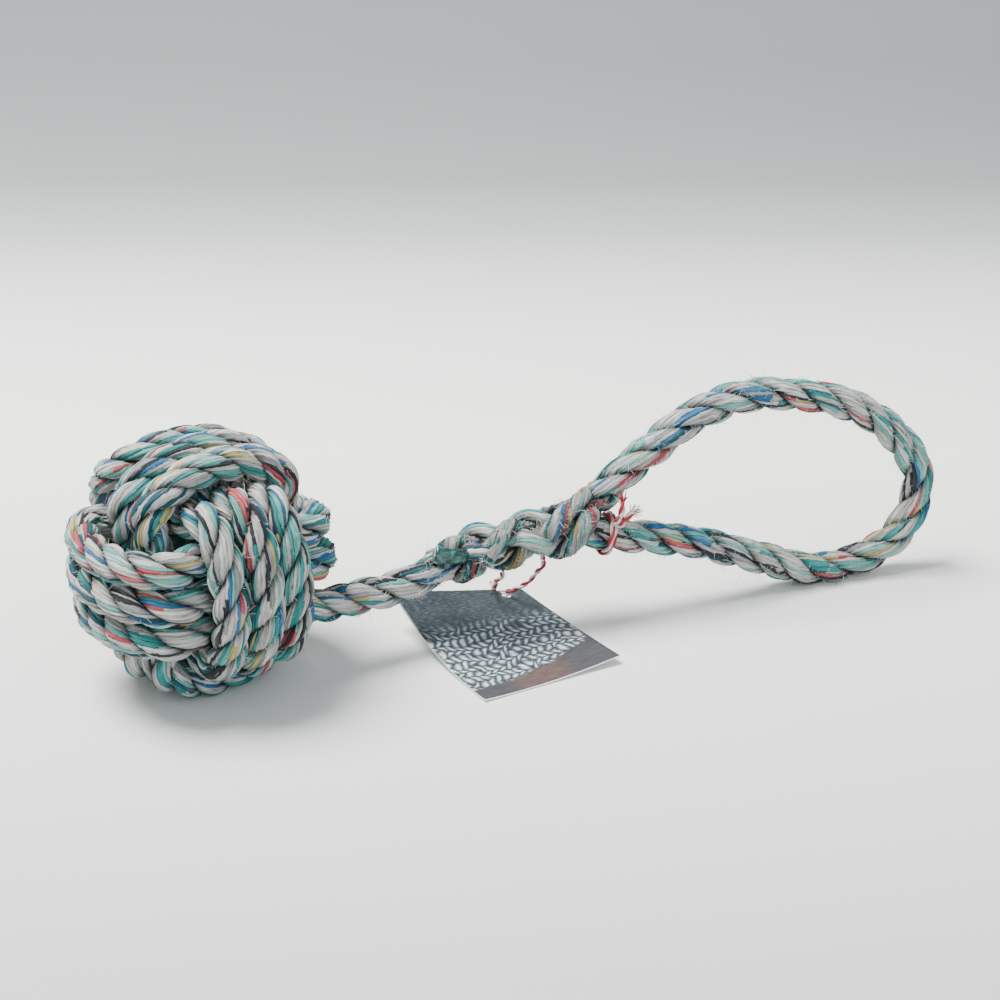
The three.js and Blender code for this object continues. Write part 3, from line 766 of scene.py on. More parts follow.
def strand_tube(centre: Array, outward: Array, roll: Array, shape: StrandShape, strand: int, seed: int,
                size: Array | float = 1.0, start: float = 0.0) -> Tube:
    """Wrap a strand's yarn-lobed section along its centre.

    Args:
        centre: the strand's middle, point by point.
        outward: direction away from the rope's middle.
        roll: how far the yarns have turned, in radians.
        shape: the section.
        strand: which of the rope's strands, for the yarns' colours.
        seed: for the unevenness.
        size: section factor, point by point.
        start: where the strand starts along the rope, for the colours.

    Returns:
        The tube.
    """
    rows = len(centre)
    way = unit(np.gradient(centre, axis=0))
    outward = unit(outward - way * (outward * way).sum(1, keepdims=True))
    sideways = np.cross(way, outward)
    column = np.arange(shape.columns)
    angle = FULL * column[None, :] / shape.columns + roll[:, None]
    per_yarn = shape.columns // YARNS
    # column 0 of each yarn is a groove, so its colour starts there too
    crest = np.where(column % per_yarn == 0, -1.0, 0.25)[None, :]
    uneven = Uneven(seed)
    yarn_swell = uneven.along(rows, YARNS, 5)[:, column // per_yarn] * (crest > 0)
    lump = uneven.along(rows, 1, 9)
    out, side = (half * (1 + 0.05 * lump) + shape.groove * crest + shape.wander * yarn_swell
                 for half in (shape.half_out, shape.half_side))
    factor = np.broadcast_to(np.asarray(size, float).reshape(-1, 1), (rows, 1))
    rings = (centre[:, None, :]
             + (out * np.cos(angle) * factor)[..., None] * outward[:, None, :]
             + (side * np.sin(angle) * factor)[..., None] * sideways[:, None, :])
    first = strand * STRAND_SPAN
    # depth: 0 on the strand's outer side, 1 on its inner side; the rope finish darkens by it as painted shade
    return Tube(rings, 0.5 - 0.5 * np.cos(angle), (first, first + YARNS), (start, start + gaps(centre).sum()))


class Stretch(Enum):
    """The rope's stretches in order, from its hidden end in the knot to the splice's tucks."""

    KNOT = 0
    SHANK = 1
    STANDING = 2
    LOOP = 3


@dataclass
class Splice:
    """How the loop's three strands weave into the standing part."""

    tuck_lay: float = 66 * MM
    reach: float = 66 * MM        # of the weave, back from the throat
    merge: float = 22.8 * MM      # run over which a tuck leaves the loop's end
    phase: float = math.radians(-40)
    middle: float = 5.0 * MM      # radius about which the weave swings
    swing: float = 2.1 * MM
    laid_on: float = 7.3 * MM     # where a tuck lies on the rope
    rope_ring: float = 3.42 * MM
    event: float = 15.0 * MM      # run of the first crossing, with the tucks outside
    pitch: float = 9.68 * MM      # from one crossing to the next
    crossings: int = 4
    dive: float = 2.4 * MM        # how deep a tuck's end goes in
    dive_run: float = 8 * MM

    def woven(self, run: Array) -> Array:
        """Share of the weave at a run from the throat, between its two ramps."""
        last = self.event + self.crossings * self.pitch
        return smooth((run - self.event) / self.pitch + 0.5) * (1 - smooth((run - last) / self.pitch + 0.5))

    def radius(self, run: Array, outside: float, sign: int) -> Array:
        """Distance of a strand from the rope's middle.

        Args:
            run: distance back from the throat.
            outside: its distance beyond the weave.
            sign: 1 for a tucked strand, which is outside at the first crossing, -1 for the rope's.

        Returns:
            The distance at each run.
        """
        beat = np.cos(math.pi * (run - self.event) / self.pitch)
        w = self.woven(run)
        return (1 - w) * outside + w * (self.middle + sign * self.swing * beat)


@dataclass
class RopeRoute:
    """The whole rope's centreline, its lay, and where its stretches meet."""

    diameter: float = 12 * MM
    depth_share: float = -0.667
    tilt: float = math.radians(5)
    step: float = 0.8 * MM
    knot_lay: float = 30 * MM
    loop_lay: float = 37 * MM
    ease: int = 12                # points over which the lay changes
    end_sizes: tuple[float, float] = (0.8, 0.93)  # of the points that slip under a neighbour
    splice: Splice = field(default_factory=Splice)

    def in_plane(self, shares: Sequence[tuple[float, float]]) -> Array:
        """Place share pairs in the handle's plane."""
        x, z = np.array(shares).T * self.diameter
        return np.stack([x, self.depth_share * self.diameter + z * math.tan(self.tilt), z], axis=1)

    def build(self) -> None:
        """Lay the line out and find where its stretches meet."""
        knot = np.array([[float(v) for v in row.split()] for row in KNOT_ROUTE.split(",")]) * MM
        a, b, c, d = (np.array(p) * MM for p in SHANK_BEND)
        t = np.linspace(0, 1, 40)[:, None]
        shank = a * (1 - t) ** 3 + 3 * b * t * (1 - t) ** 2 + 3 * c * t * t * (1 - t) + d * t ** 3
        standing = curve_through(self.in_plane(STANDING_SHARES))
        loop = curve_through(self.in_plane(LOOP_SHARES))[::-1]
        joined = np.vstack([curve_through(knot[::-1], 8), shank, standing, loop])
        points = resample(joined[np.r_[True, gaps(joined) > 0.05 * MM]], self.step)
        for _ in range(6):
            points[1:-1] = points[1:-1] * 0.5 + (points[:-2] + points[2:]) * 0.25
        self.line = Line(points)
        meets = (0, nearest(points, a), nearest(points, standing[0]), nearest(points, standing[-1]),
                 len(points) - 1)
        self.throat = meets[3]
        self.bounds = dict(zip(Stretch, zip(meets, meets[1:])))
        self.twist()

    def twist(self) -> None:
        """Work out every strand's angle along the line."""
        sp, run, throat = self.splice, self.line.run, self.throat
        rate = np.full(len(run), FULL / self.knot_lay)
        rate[self.bounds[Stretch.SHANK][0]:] = FULL / self.loop_lay
        rate[self.bounds[Stretch.STANDING][0]:throat] = THIRD / sp.pitch - FULL / sp.tuck_lay
        soft = np.hanning(2 * self.ease + 1)
        rate = np.convolve(np.pad(rate, self.ease, mode="edge"), soft / soft.sum(), "valid")
        turn = np.r_[0, np.cumsum((rate[1:] + rate[:-1]) / 2 * np.diff(run))]
        event = throat - int(round(sp.event / self.step))
        turn += self.angle_in_line(event, sp.phase + FULL * sp.event / sp.tuck_lay) - turn[event]
        goal = self.angle_in_line(len(run) - 1, 0.0)
        miss = (goal - turn[-1] + THIRD / 2) % THIRD - THIRD / 2
        self.turn = turn + miss * np.clip((run - run[throat]) / (run[-1] - run[throat]), 0, 1)

    def angle_in_line(self, index: int, world: float) -> float:
        """Turn an angle from up towards the front into one in the line's own frame.

        Args:
            index: the point on the line.
            world: the angle about the rope, from up towards the front.

        Returns:
            The same direction as an angle in the frame at that point.
        """
        up, front = upright(self.line.way[index])
        out = math.cos(world) * up + math.sin(world) * front
        return math.atan2(out @ self.line.side[index], out @ self.line.up[index])

    def strand(self, index: int, first: int, last: int, shape: StrandShape, seed: int) -> Tube:
        """Lay one strand of the rope over a stretch, its ends just inside the neighbouring ones.

        Args:
            index: which strand.
            first: first point of the stretch.
            last: last point of the stretch.
            shape: its section.
            seed: for its unevenness.

        Returns:
            The strand's tube.
        """
        low = max(first - 2, 0)
        high = min(last + 2, len(self.turn) - 1)
        part = slice(low, high + 1)
        turn = self.turn + FULL * index / 3
        outward = self.line.around(turn)[part]
        run = self.line.run[self.throat] - self.line.run
        sp = self.splice
        inside = (run > 0) & (run < sp.reach)
        ring = np.where(inside, sp.radius(run, sp.rope_ring, -1), sp.rope_ring) * (shape.ring / sp.rope_ring)
        centre = self.line.points[part] + outward * ring[part, None]
        size = np.ones(high - low + 1)
        if low < first:
            size[:2] = self.end_sizes
        if high > last:
            size[-2:] = self.end_sizes[::-1]
        tube = strand_tube(centre, outward, -shape.yarn_lean * turn[part], shape, index, seed, size,
                           self.line.run[low])
        tube.rings = rest_on_floor(tube.rings)
        return tube


@dataclass
class Fuzz:
    """Loose fibres that stand off a piece."""

    name: str
    seed: int
    length: tuple[float, float] = (0.6 * MM, 2.4 * MM)
    thick: float = 0.08 * MM
    taper: tuple[float, ...] = (0.8, 1.0, 0.75, 0.25)  # of the thickness, root to tip
    sides: int = 3
    clump: int = 4                                     # fibres that stand close together
    places: list[Array] = field(default_factory=list)

    def seed_from(self, tube: Tube, count: int) -> None:
        """Pick fibre roots on the outside of a strand.

        Args:
            tube: the strand.
            count: how many fibres.
        """
        dice = np.random.default_rng(self.seed + len(self.places))
        rows, columns = tube.rings.shape[:2]
        tufts = count * 3 // self.clump
        row = np.repeat(dice.integers(4, rows - 4, tufts), self.clump)
        row = row + dice.integers(-1, 2, tufts * self.clump)
        column = np.repeat(dice.integers(0, columns, tufts), self.clump)
        column = (column + dice.integers(-1, 2, tufts * self.clump)) % columns
        keep = np.where(tube.hidden[row, column] < 0.5)[0][:count]
        row, column = row[keep], column[keep]
        root = tube.rings[row, column]
        normal = unit(root - tube.rings[row].mean(axis=1))
        way = unit(tube.rings[row + 2, column] - tube.rings[row - 2, column])
        self.places.append(np.stack([root, normal, way], axis=1))

    def build(self, material: Material) -> Piece:
        """Grow the fibres.

        Args:
            material: their finish.

        Returns:
            One object of closed, tapered hairs.
        """
        dice = np.random.default_rng(self.seed)
        places = np.concatenate(self.places)
        count, steps = len(places), len(self.taper)
        root, normal, way = places[:, 0], places[:, 1], places[:, 2]
        lean = unit(normal * dice.uniform(0.0, 0.7, (count, 1)) + way * dice.uniform(-1.4, 1.4, (count, 1))
                    + 0.45 * dice.standard_normal((count, 3)))
        curl = 0.9 * dice.standard_normal((count, 3))
        length = dice.uniform(*self.length, (count, 1)) * dice.uniform(0.4, 1.0, (count, 1))
        length *= np.where(dice.random((count, 1)) < 0.05, 1.8, 1.0)
        t = np.linspace(0, 1, steps)[:, None]
        middle = (root[:, None] - normal[:, None] * 0.25 * MM
                  + (lean[:, None] * t + curl[:, None] * t ** 2) * length[:, None])
        wide = unit(np.cross(lean, normal + 0.01))
        high = np.cross(lean, wide)
        angle = (FULL * np.arange(self.sides) / self.sides)[:, None]
        radius = (self.thick * np.array(self.taper))[:, None, None]
        rings = middle[:, :, None] + radius * (np.cos(angle) * wide[:, None, None]
                                               + np.sin(angle) * high[:, None, None])
        rings = rings.reshape(count * steps, self.sides, 3)
        rings[..., 2] = np.maximum(rings[..., 2], FLOOR_GAP)
        lathe = Lathe(self.name)
        lathe.add(Tube(rings, steps=steps))
        return lathe.finish(material)


@dataclass
class Rope:
    """The toy's rope: knot, shank, splice and loop."""

    strands: Material
    tucked: Material  # finish of the strands that are worked into the splice
    fuzz: Material
    cotton: Material
    sealed: Material  # finish of the shiny strand end
    route: RopeRoute = field(default_factory=RopeRoute)
    shape: StrandShape = field(default_factory=StrandShape)
    snug: float = 0.965             # section inside the knot
    shank_split: float = 60 * MM
    tuck_section: float = 2.62 * MM
    tuck_taper: float = 3 * MM
    tuck_roll: float = math.radians(11)  # of its yarns, for each millimetre
    # where each tuck has left the loop's end, and where it ends, back from the throat
    tuck_runs: Route = ((11.0, 63.0), (8.5, 61.0), (7.5, 57.0))
    fold: tuple[float, float] = (146 * MM, 178 * MM)

    def make(self) -> None:
        """Build every piece of the rope; the knot, filler and splice pieces ride on the frame's bodies."""
        self.route.build()
        self.knot()
        self.filler()
        self.shank()
        self.splice()
        self.loose_ends()
        self.loop()

    def single(self, name: str, tube: Tube, finish: Material, body: str, *nodes: str) -> None:
        """Make one strand a piece of its own.

        Args:
            name: the piece's name.
            tube: the strand.
            finish: its material.
            body: the body that it rides on.
            nodes: the CAD nodes that it replaces.
        """
        lathe = Lathe(name)
        lathe.add(tube)
        settle(lathe.finish(finish), "rope", body, *nodes)

    def lay(self, name: str, first: int, last: int, seed: int, hairs: Fuzz, count: int) -> Piece:
        """Lay the three strands of a stretch as one piece.

        Args:
            name: the piece's name.
            first: first point of the stretch.
            last: last point of the stretch.
            seed: for the first strand's unevenness.
            hairs: the fibres that grow on it.
            count: how many on each strand.

        Returns:
            The strands.
        """
        lathe = Lathe(name)
        for index in range(3):
            tube = self.route.strand(index, first, last, self.shape, seed + index)
            lathe.add(tube)
            hairs.seed_from(tube, count)
        return lathe.finish(self.strands)

    def bend(self, strands: Piece, hairs: Fuzz, bodies: tuple[str, str], start: Sequence[float],
             end: Sequence[float], *nodes: str) -> None:
        """Grow the strands' fibres, bake both pieces where they lie, and hide the nodes that the strands
        replace.

        Args:
            strands: the piece.
            hairs: its fibres, not yet grown.
            bodies: not used.
            start: not used.
            end: not used.
            nodes: the CAD nodes that the strands replace.
        """
        for piece in (strands, hairs.build(self.fuzz)):
            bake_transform(piece)
        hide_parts(*nodes)

    def knot(self) -> None:
        """Lay the three strands through the ball knot."""
        first, last = self.route.bounds[Stretch.KNOT]
        full = self.shape
        shape = StrandShape(full.ring * self.snug, full.half_out * self.snug, full.half_side * self.snug)
        hairs = Fuzz("knot_fibres", 11)
        for index, letter in enumerate("abc"):
            tube = self.route.strand(index, first, last, shape, 100 + index)
            self.single(f"knot_strand_{letter}", tube, self.strands, "fist", "fist_turns")
            hairs.seed_from(tube, 2900)
        settle(hairs.build(self.fuzz), "rope", "fist")

    def filler(self) -> None:
        """Pack the knot's middle with a lumpy ball."""
        low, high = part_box("core_ball")
        middle = (low + high) / 2
        bm = bmesh.new()
        bmesh.ops.create_icosphere(bm, subdivisions=5, radius=(high.z - low.z) / 2 * 0.985,
                                   matrix=Matrix.Translation(middle))
        for vert in bm.verts:
            away = (vert.co - middle).normalized()
            lump = (math.sin(away.x * 19 + away.y * 7) * math.sin(away.y * 17 - away.z * 9)
                    * math.sin(away.z * 23))
            vert.co -= away * 0.6 * MM * (0.5 + 0.5 * lump)
        settle(as_piece("knot_filler", bm, self.cotton), "core", "fist", "core_ball")

    def shank(self) -> None:
        """Lay the shank in two halves."""
        first, last = self.route.bounds[Stretch.SHANK]
        points = self.route.line.points
        middle = first + int(np.argmin(abs(points[first:last, 0] - self.shank_split)))
        for name, low, high, bodies in (("shank_knot_half", first, middle, ("fist", "shank")),
                                        ("shank_splice_half", middle, last, ("shank", "handle"))):
            hairs = Fuzz(f"{name}_fibres", 17)
            strands = self.lay(name, low, high, 200 + low, hairs, 60)
            self.bend(strands, hairs, bodies, points[low].tolist(), points[high].tolist(), "shank")

    def tuck(self, index: int, first: float, reach: float) -> tuple[Array, Array]:
        """Route one of the loop's strands into the splice.

        Args:
            index: which strand.
            first: run from the throat where it has left the loop's end.
            reach: run from the throat where it ends.

        Returns:
            Its middle and its outward directions.
        """
        route, sp = self.route, self.route.splice
        line = route.line
        ring = line.points + line.around(route.turn + FULL * index / 3) * sp.rope_ring
        back = route.throat - np.arange(0, int(reach / route.step) + 1)
        run = (route.throat - back) * route.step
        up, front = upright(line.way[back])
        apart = ring[-1] - line.points[route.throat]
        radius0 = math.hypot(apart @ up[0], apart @ front[0])
        angle0 = math.atan2(apart @ front[0], apart @ up[0])
        share = np.sin(np.minimum(run / sp.merge, 1) * math.pi / 2)
        order = (0, 1, -1)[index]  # place round the rope, from its top
        goal = sp.phase + FULL * order / 3 + FULL * run / sp.tuck_lay
        angle = angle0 + (goal - angle0) * share
        dive = sp.dive * smooth((run - reach + sp.dive_run) / sp.dive_run)
        radius = radius0 + (sp.radius(run, sp.laid_on, 1) - radius0) * share - dive
        outward = np.cos(angle)[:, None] * up + np.sin(angle)[:, None] * front
        place = line.points[back] + radius[:, None] * outward
        # the strand leaves the loop's end along its own last points
        route_points = np.vstack([ring[[-6, -3, -1]], place[run >= first][::4]])
        centre = resample(curve_through(route_points, 12), route.step)
        below = np.argmin(np.linalg.norm(centre[:, None] - line.points[back][None], axis=2), axis=1)
        return centre, centre - line.points[back][below]

    def splice(self) -> None:
        """Lay the standing part's strands and weave the loop's three through them."""
        hairs = Fuzz("splice_fibres", 23)
        standing = self.lay("splice_standing_strands", *self.route.bounds[Stretch.STANDING], 300, hairs, 450)
        settle(standing, "rope", "handle", "splice_standing_part")
        section = StrandShape(0, self.tuck_section * 0.96, self.tuck_section * 1.3)
        for index, (letter, (leave, reach)) in enumerate(zip("abc", self.tuck_runs)):
            centre, outward = self.tuck(index, leave * MM, reach * MM)
            run = np.r_[0, np.cumsum(gaps(centre))]
            size = 1 - 0.3 * smooth((run - run[-1] + self.tuck_taper) / self.tuck_taper)
            size[:6] *= np.linspace(0.35, 1.0, 6)
            tube = strand_tube(centre, outward, -run * self.tuck_roll / MM, section, index, 400 + index,
                               size, self.route.line.run[-1])
            # more painted shade on the tucks: their depth, by which the rope finish darkens them, is raised
            # by 1.3
            tube.hidden = np.clip(tube.hidden * 1.3, 0, 1)
            hairs.seed_from(tube, 700)
            node = f"tucked_strand_{letter}"
            self.single(f"{node}_yarns", tube, self.tucked, "handle", node)
        settle(hairs.build(self.fuzz), "rope", "handle")

    def loose_ends(self) -> None:
        """Let two strand ends show on the splice's front: a flat frayed one and a shiny sealed one."""
        ends = (
            ("splice_flat_end", self.tucked, (0.8, 1.9), (32.1, 34.4),
             ((102, -11, 39.6), (100.0, -14.0, 38.8), (97.7, -15.4, 37.2), (95.3, -15.8, 34.6),
              (93.2, -15.4, 31.2))),
            ("splice_sealed_end", self.sealed, (2.1, 2.5), (18.1, 18.9),
             ((88, -9, 33.3), (86.0, -12.0, 34.3), (83.0, -13.2, 35.1), (79.4, -13.2, 36.0),
              (76.2, -12.4, 36.7))),
        )
        for name, finish, (thin, wide), across, route in ends:
            line = Line(resample(curve_through(np.array(route) * MM), 0.5 * MM))
            rows = len(line.points)
            front = np.tile([0.0, -1.0, 0.15], (rows, 1))
            section = StrandShape(0, thin * MM, wide * MM, groove=0.2 * MM, wander=0.2 * MM)
            size = np.ones(rows)
            size[-2:] = (0.97, 0.86)
            tube = strand_tube(line.points, front, -line.run * 60, section, 0, 450, size)
            tube.across = across
            # less painted shade on the loose ends: their depth, by which the rope finish darkens them, is cut
            # to 0.6
            tube.hidden = tube.hidden * 0.6
            self.single(name, tube, finish, "handle")
            if finish is self.tucked:
                root = np.repeat(tube.rings[-3], 3, axis=0)
                hairs = Fuzz(f"{name}_fibres", 41, (1.2 * MM, 2.4 * MM), 0.07 * MM)
                hairs.places.append(np.stack([root, np.tile(2.5 * line.way[-1], (len(root), 1)),
                                              np.tile(0.25 * line.side[-1], (len(root), 1))], axis=1))
                settle(hairs.build(self.fuzz), "rope", "handle")

    def loop(self) -> None:
        """Lay the hand loop in place of its loop and neck nodes."""
        hairs = Fuzz("loop_fibres", 37)
        strands = self.lay("hand_loop_strands", *self.route.bounds[Stretch.LOOP], 500, hairs, 1700)
        self.bend(strands, hairs, ("handle", "loop"), (self.fold[0], 0, 0), (self.fold[1], 0, 0),
                  "loop_neck_upper", "handle_loop", "loop_neck_lower")


# ---------------------------------------------------------------- card and twine


@dataclass
class Card:
    """The printed hang card: a curled sheet of stock with one hole."""

    print_finish: Material
    stock: Material
    width: float = 53 * MM
    length: float = 64 * MM
    thick: float = 0.5 * MM
    corner: tuple[float, float] = (79.40 * MM, -52.20 * MM)
    turned: float = math.radians(10.5)
    hole_share: tuple[float, float] = (0.83, 0.925)
    hole_dia: float = 3.4 * MM

    def place(self, u: float, v: float, above: float = 0.0) -> Vector:
        """Place a point of the sheet.

        Args:
            u: share of the width from its left edge.
            v: share of the length from its front edge.
            above: height over the underside.

        Returns:
            The point in the row frame.
        """
        rear = 14.4 * (1 - u) ** 2 + 15.6 * u * (1 - u) + 2.4 * u * u
        lift = 1.5 * (1 - u) ** 2 * (1 - v) ** 3 + 3.6 * u * u * (1 - v) + v * v * rear - 0.918
        x, y = u * self.width, v * self.length
        c, s = math.cos(self.turned), math.sin(self.turned)
        return Vector((self.corner[0] + x * c - y * s, self.corner[1] + x * s + y * c, lift * MM + above))

    def hole(self) -> Vector:
        """Middle of the hole, at the sheet's middle height."""
        return self.place(*self.hole_share, 0.3 * MM)

    def make(self) -> Piece:
        """Cut, print and curl the card.

        Returns:
            The card.
        """
        bm = bmesh.new()
        uv = bm.loops.layers.uv.verify()
        bmesh.ops.create_grid(bm, x_segments=53, y_segments=64, size=0.5, calc_uvs=True)
        centre = Vector((self.hole_share[0] - 0.5, self.hole_share[1] - 0.5, 0))
        scale = Vector((self.width, self.length, 1))
        inside = [v for v in bm.verts if ((v.co - centre) * scale).length < self.hole_dia * 0.5 + 0.35 * MM]
        bmesh.ops.delete(bm, geom=inside, context="VERTS")
        for vert in {v for e in bm.edges if e.is_boundary for v in e.verts}:
            away = (vert.co - centre) * scale
            if away.length < self.hole_dia * 1.6:
                away = away.normalized() * self.hole_dia / 2
                vert.co = centre + Vector((away.x / self.width, away.y / self.length, 0))
        for loop in (loop for face in bm.faces for loop in face.loops):
            loop[uv].uv = (loop.vert.co.x + 0.5, loop.vert.co.y + 0.5)
        for vert in bm.verts:
            vert.co = self.place(vert.co.x + 0.5, vert.co.y + 0.5, self.thick)
        bm.normal_update()
        grown = bmesh.ops.extrude_face_region(bm, geom=list(bm.faces), use_keep_orig=True)["geom"]
        bmesh.ops.translate(bm, verts=[v for v in grown if isinstance(v, bmesh.types.BMVert)],
                            vec=(0, 0, -self.thick))
        bmesh.ops.recalc_face_normals(bm, faces=bm.faces)
        bm.normal_update()
        for face in bm.faces:
            face.material_index = 0 if face.normal.z > 0.5 else 1
        low = min(v.co.z for v in bm.verts)
        for vert in bm.verts:
            vert.co.z += FLOOR_GAP - low
        piece = as_piece("hang_card", bm, self.print_finish, self.stock)
        settle(piece, "card", "tag", "hang_tag")
        return piece


@dataclass
class Twine:
    """Two-ply twine: hitch, knot, tails, runs and the loop that holds the card."""

    finish: Material
    rope: RopeRoute
    ring: float = 0.42 * MM
    ply: float = 0.52 * MM
    lay: float = 9.4 * MM
    # in millimetres, as all that follows
    diameter: float = 1.6
    hitch_radius: float = 6.95
    leave_radius: float = 7.1  # where a run leaves the hitch
    run_radius: float = 10.8   # where it lies on the splice
    close_run: float = 8.4     # run from the throat by which it lies there
    drop: float = 1.92         # straight down at a run's end
    rope_diameter: float = 12
    tail_size: float = 3.84
    upper_tail: Route = ((0, 0, 0), (0.12, -0.16, 0.6), (0.3, -0.1, 1.3), (0.36, 0.12, 1.75))
    lower_tail: Route = ((0, 0, 0), (0.6, -0.12, 0.1), (1.1, -0.05, 0.45), (1.45, 0.08, 0.6))
    # degrees round the hitch, then rope diameters along the splice and degrees round it
    near_run: tuple[float, Route] = (40, ((0.35, 44), (0.8, 42), (1.2, 32), (1.58, 18)))
    far_run: tuple[float, Route] = (
        78, ((0.35, 82), (0.8, 84), (1.5, 78), (2.2, 62), (2.75, 34), (2.95, 18)))
    near_end: tuple[float, float, float] = (119.82, -1.60, 22.55)
    far_end: tuple[float, float, float] = (104.38, -1.75, 20.81)
    # way of the loop through the card's hole, in diameters from the hole's middle
    bends: Route = (
        (4.1, -7.6, 8.3), (3.2, -6, 5.8), (2, -4.3, 4), (0.9, -2.4, 2.5), (0.2, -0.5, 0.8),
        (-0.35, 0.9, -1), (-0.75, 2.6, -1.4), (-1.05, 4.2, -1.05), (-1.4, 5, 0.2), (-1.8, 4.4, 1.6),
        (-2.3, 2.8, 2.2), (-3, 0, 2.6), (-3.8, -3, 4.6), (-4.5, -5.8, 7.2))

    def twist(self, node: str, ending: str, route: Route, seed: int, fat: float = 1.0,
              red_share: float | None = None, body: str = "handle") -> Piece:
        """Twist two plies along a route, in a node's place.

        Args:
            node: the CAD node.
            ending: what the piece's name adds to the node's.
            route: its points in millimetres.
            seed: for its unevenness.
            fat: thickness factor.
            red_share: share of red threads where its far end opens, or None where it doesn't.
            body: the body that it rides on.

        Returns:
            The piece.
        """
        line = Line(resample(curve_through(np.array(route) * MM), 0.35 * MM))
        lathe = Lathe(f"{node}_{ending}")
        turn = FULL * line.run / self.lay
        section = StrandShape(0, self.ply * fat, self.ply * fat, YARNS, 0.03 * MM, 0.02 * MM)
        size = np.ones(len(turn))
        size[0] = size[-1] = 0.6
        for index in range(2):
            outward = line.around(turn + math.pi * index)
            tube = strand_tube(line.points + outward * self.ring * fat, outward, -1.5 * turn, section,
                               index, seed + index, size)
            tube.rings[..., 2] = np.maximum(tube.rings[..., 2], FLOOR_GAP)
            lathe.add(tube)
            if red_share is not None:
                self.fray(lathe, line, index, seed, red_share)
        piece = lathe.finish(self.finish)
        settle(piece, "twine", body, node)
        return piece

    def fray(self, lathe: Lathe, line: Line, index: int, seed: int, red_share: float) -> None:
        """Open a ply's end into loose threads.

        Args:
            lathe: the piece that they join.
            line: the twine's middle.
            index: which ply.
            seed: for their spread.
            red_share: share of red ones.
        """
        dice = np.random.default_rng(seed * 7 + index)
        steps = 6
        t = np.linspace(0, 1, steps)[:, None]
        section = StrandShape(0, 0.2 * MM, 0.2 * MM, YARNS, 0.0, 0.0)
        for _ in range(12):
            spread = 0.8 * dice.standard_normal(3)
            way = unit(line.way[-1] + 0.34 * spread)
            length = dice.uniform(2.4, 4.2) * MM
            start = line.points[-3] + 0.35 * MM * spread
            thread = Line(start + way * t * length + 0.35 * MM * dice.standard_normal(3) * t ** 2)
            ply = 0 if dice.random() < red_share else 1
            lathe.add(strand_tube(thread.points, thread.up, np.zeros(steps), section, ply, seed,
                                  np.linspace(1.0, 0.6, steps)))

    def make(self, card: Card, sheet: Piece) -> None:
        """Build every piece of the twine and tie it to the frame.

        Args:
            card: the card that hangs on it.
            sheet: the card's piece.
        """
        boxes = (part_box("twine_hitch"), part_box("twine_knot"))
        middle, heart = (np.array((low + high) / 2) for low, high in boxes)
        heart = heart / MM
        line, throat = self.rope.line, self.rope.throat
        way = line.way[nearest(line.points[throat:], middle) + throat]
        up, front = upright(way)
        turns = np.linspace(0, 2 * FULL, 60)
        round_rope = np.cos(turns)[:, None] * up + np.sin(turns)[:, None] * front
        hitch = (middle + self.hitch_radius * MM * round_rope
                 + way * (np.linspace(-1.0, 1.0, 60) * MM)[:, None]) / MM
        turns = np.linspace(0, FULL * 1.9, 30)
        bundle = np.stack([np.cos(turns) * 1.1, np.sin(2 * turns) * 0.8 - 0.5, np.sin(turns) * 1.4], axis=1)
        self.twist("twine_hitch", "turns", hitch, 61, 1.1)
        self.twist("twine_knot", "turns", heart + bundle, 67, 1.25)
        for node, tail, seed, fat, red_share in (("twine_tail_upper", self.upper_tail, 71, 1.3, 0.85),
                                                 ("twine_tail_lower", self.lower_tail, 73, 1.2, 0.45)):
            self.twist(node, "plies", heart + np.array(tail) * self.tail_size, seed, fat, red_share)
        for node, seed, (start, shares) in (("twine_run_near", 79, self.near_run),
                                            ("twine_run_far", 83, self.far_run)):
            angle = math.radians(180 + start)
            aside = math.cos(angle) * up + math.sin(angle) * front
            first = middle / MM + self.leave_radius * aside + way * 1.1
            self.twist(node, "plies", self.under_splice(first, shares), seed)
        self.hang(np.array(card.hole()) / MM)

    def under_splice(self, first: Array, shares: Route) -> Array:
        """Route a length behind and under the splice.

        Args:
            first: where it leaves the hitch, in millimetres.
            shares: rope diameters back from the throat, and degrees round the splice.

        Returns:
            Its points, in millimetres.
        """
        points = [first]
        for share, degrees in shares:
            run = share * self.rope_diameter
            index = self.rope.throat - int(round(run * MM / self.rope.step))
            up, front = upright(self.rope.line.way[index])
            spread = float(smooth(np.array(run / self.close_run)))
            radius = self.leave_radius + (self.run_radius - self.leave_radius) * spread
            angle = math.radians(180 + degrees)
            aside = math.cos(angle) * up + math.sin(angle) * front
            points.append(self.rope.line.points[index] / MM + radius * aside)
        points.append(points[-1] - SKY * self.drop)
        return np.array(points)

    def hang(self, hole: Array) -> None:
        """Hang the loop through the card's hole.

        Args:
            hole: the hole's middle, in millimetres.
        """
        near, far = np.array(self.near_end), np.array(self.far_end)
        down = np.array([0, 0, -self.diameter])
        route = np.vstack([near, near + down, hole + np.array(self.bends) * self.diameter, far + down, far])
        piece = self.twist("twine_loop", "plies", route, 89, body="tag")


# ---------------------------------------------------------------- studio


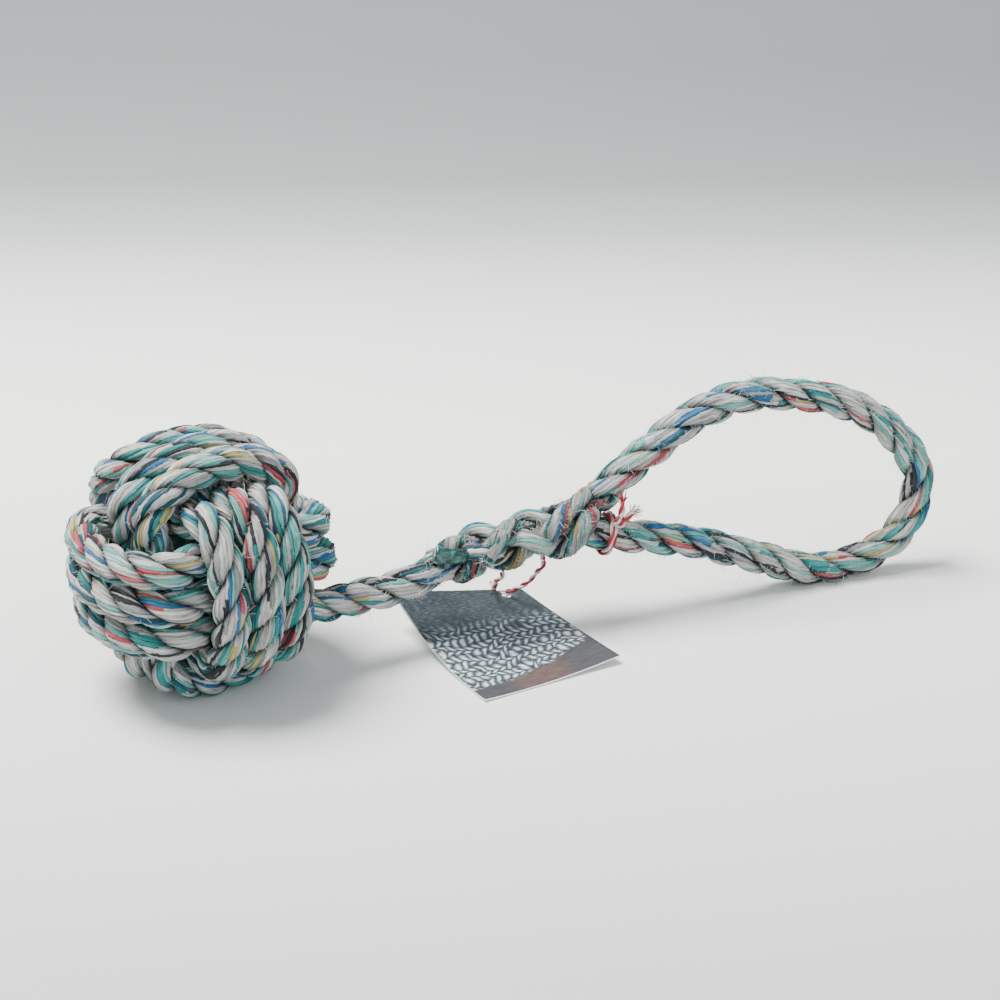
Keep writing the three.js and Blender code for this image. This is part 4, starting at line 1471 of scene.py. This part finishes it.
@dataclass(frozen=True)
class Studio:
    """Camera, lights and the pale floor."""

    eye: tuple[float, float, float] = (-0.1172, -0.5921, 0.3156)
    look: tuple[float, float, float] = (0.3224, 0.8623, -0.3907)
    field_deg: float = 28.07
    room: str = "eef3f6"
    room_strength: float = 0.84
    sweep_start: float = 3.4
    sweep_radius: float = 1.6

    def camera(self) -> None:
        """Set the camera where the photograph was taken from."""
        data = bpy.data.cameras.new("photo_camera")
        data.angle = math.radians(self.field_deg)
        data.clip_start, data.clip_end = 0.02, 30
        cam = link("photo_camera", data)
        cam.location = self.eye
        cam.rotation_euler = Vector(self.look).to_track_quat("-Z", "Y").to_euler()
        bpy.context.scene.camera = cam

    def lamp(self, name: str, place: Sequence[float], aim: Sequence[float], size: float, power: float,
             tint: str) -> None:
        """Hang one soft lamp.

        Args:
            name: its name.
            place: where it hangs.
            aim: what it points at.
            size: its diameter.
            power: in watts.
            tint: its colour code.
        """
        data = bpy.data.lights.new(name, "AREA")
        data.shape = "DISK"
        data.size = size
        data.energy = power
        data.color = linear(tint)[:3]
        lamp = link(name, data)
        lamp.location = place
        lamp.rotation_euler = (Vector(aim) - Vector(place)).to_track_quat("-Z", "Y").to_euler()

    def light(self) -> None:
        """Light it softly from above, a little from behind and from the left."""
        self.lamp("key", (-0.45, 0.35, 1.5), (0.08, 0, 0), 0.95, 91.0, "fffdf8")
        self.lamp("fill", (0.5, -1.6, 1.0), (0.1, 0, 0.03), 1.8, 19.0, "f6fbff")
        world = bpy.data.worlds.new("soft_room")
        world.use_nodes = True
        inputs = world.node_tree.nodes["Background"].inputs
        inputs[0].default_value = linear(self.room)
        inputs[1].default_value = self.room_strength
        bpy.context.scene.world = world

    def floor(self) -> None:
        """Lay the paper and sweep it up far behind."""
        bm = bmesh.new()
        bmesh.ops.create_grid(bm, x_segments=24, y_segments=80, size=5)
        radius = self.sweep_radius
        for vert in bm.verts:
            past = vert.co.y - self.sweep_start
            if past > 0:
                vert.co.z = radius - math.sqrt(max(radius ** 2 - min(past, radius) ** 2, 0.0))
        as_piece("studio_floor", bm, FloorFinish().build())

    def make(self) -> None:
        """Set the whole studio up."""
        self.camera()
        self.light()
        self.floor()


def main() -> None:
    """Dress the frame."""
    logging.basicConfig(level=logging.INFO, format="%(name)s %(message)s")
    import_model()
    Studio().make()
    rope = Rope(RopeFinish().build(), RopeFinish("tucked_rope_yarns", stray_share=0.62, gain=0.62).build(),
                FuzzFinish().build(), PACKED_COTTON.build(), SEALED_END.build())
    rope.make()
    card = Card(CardFinish().build(), CARD_STOCK.build())
    Twine(TwineFinish().build(), rope.route).make(card, card.make())


if __name__ == "__main__":
    main()
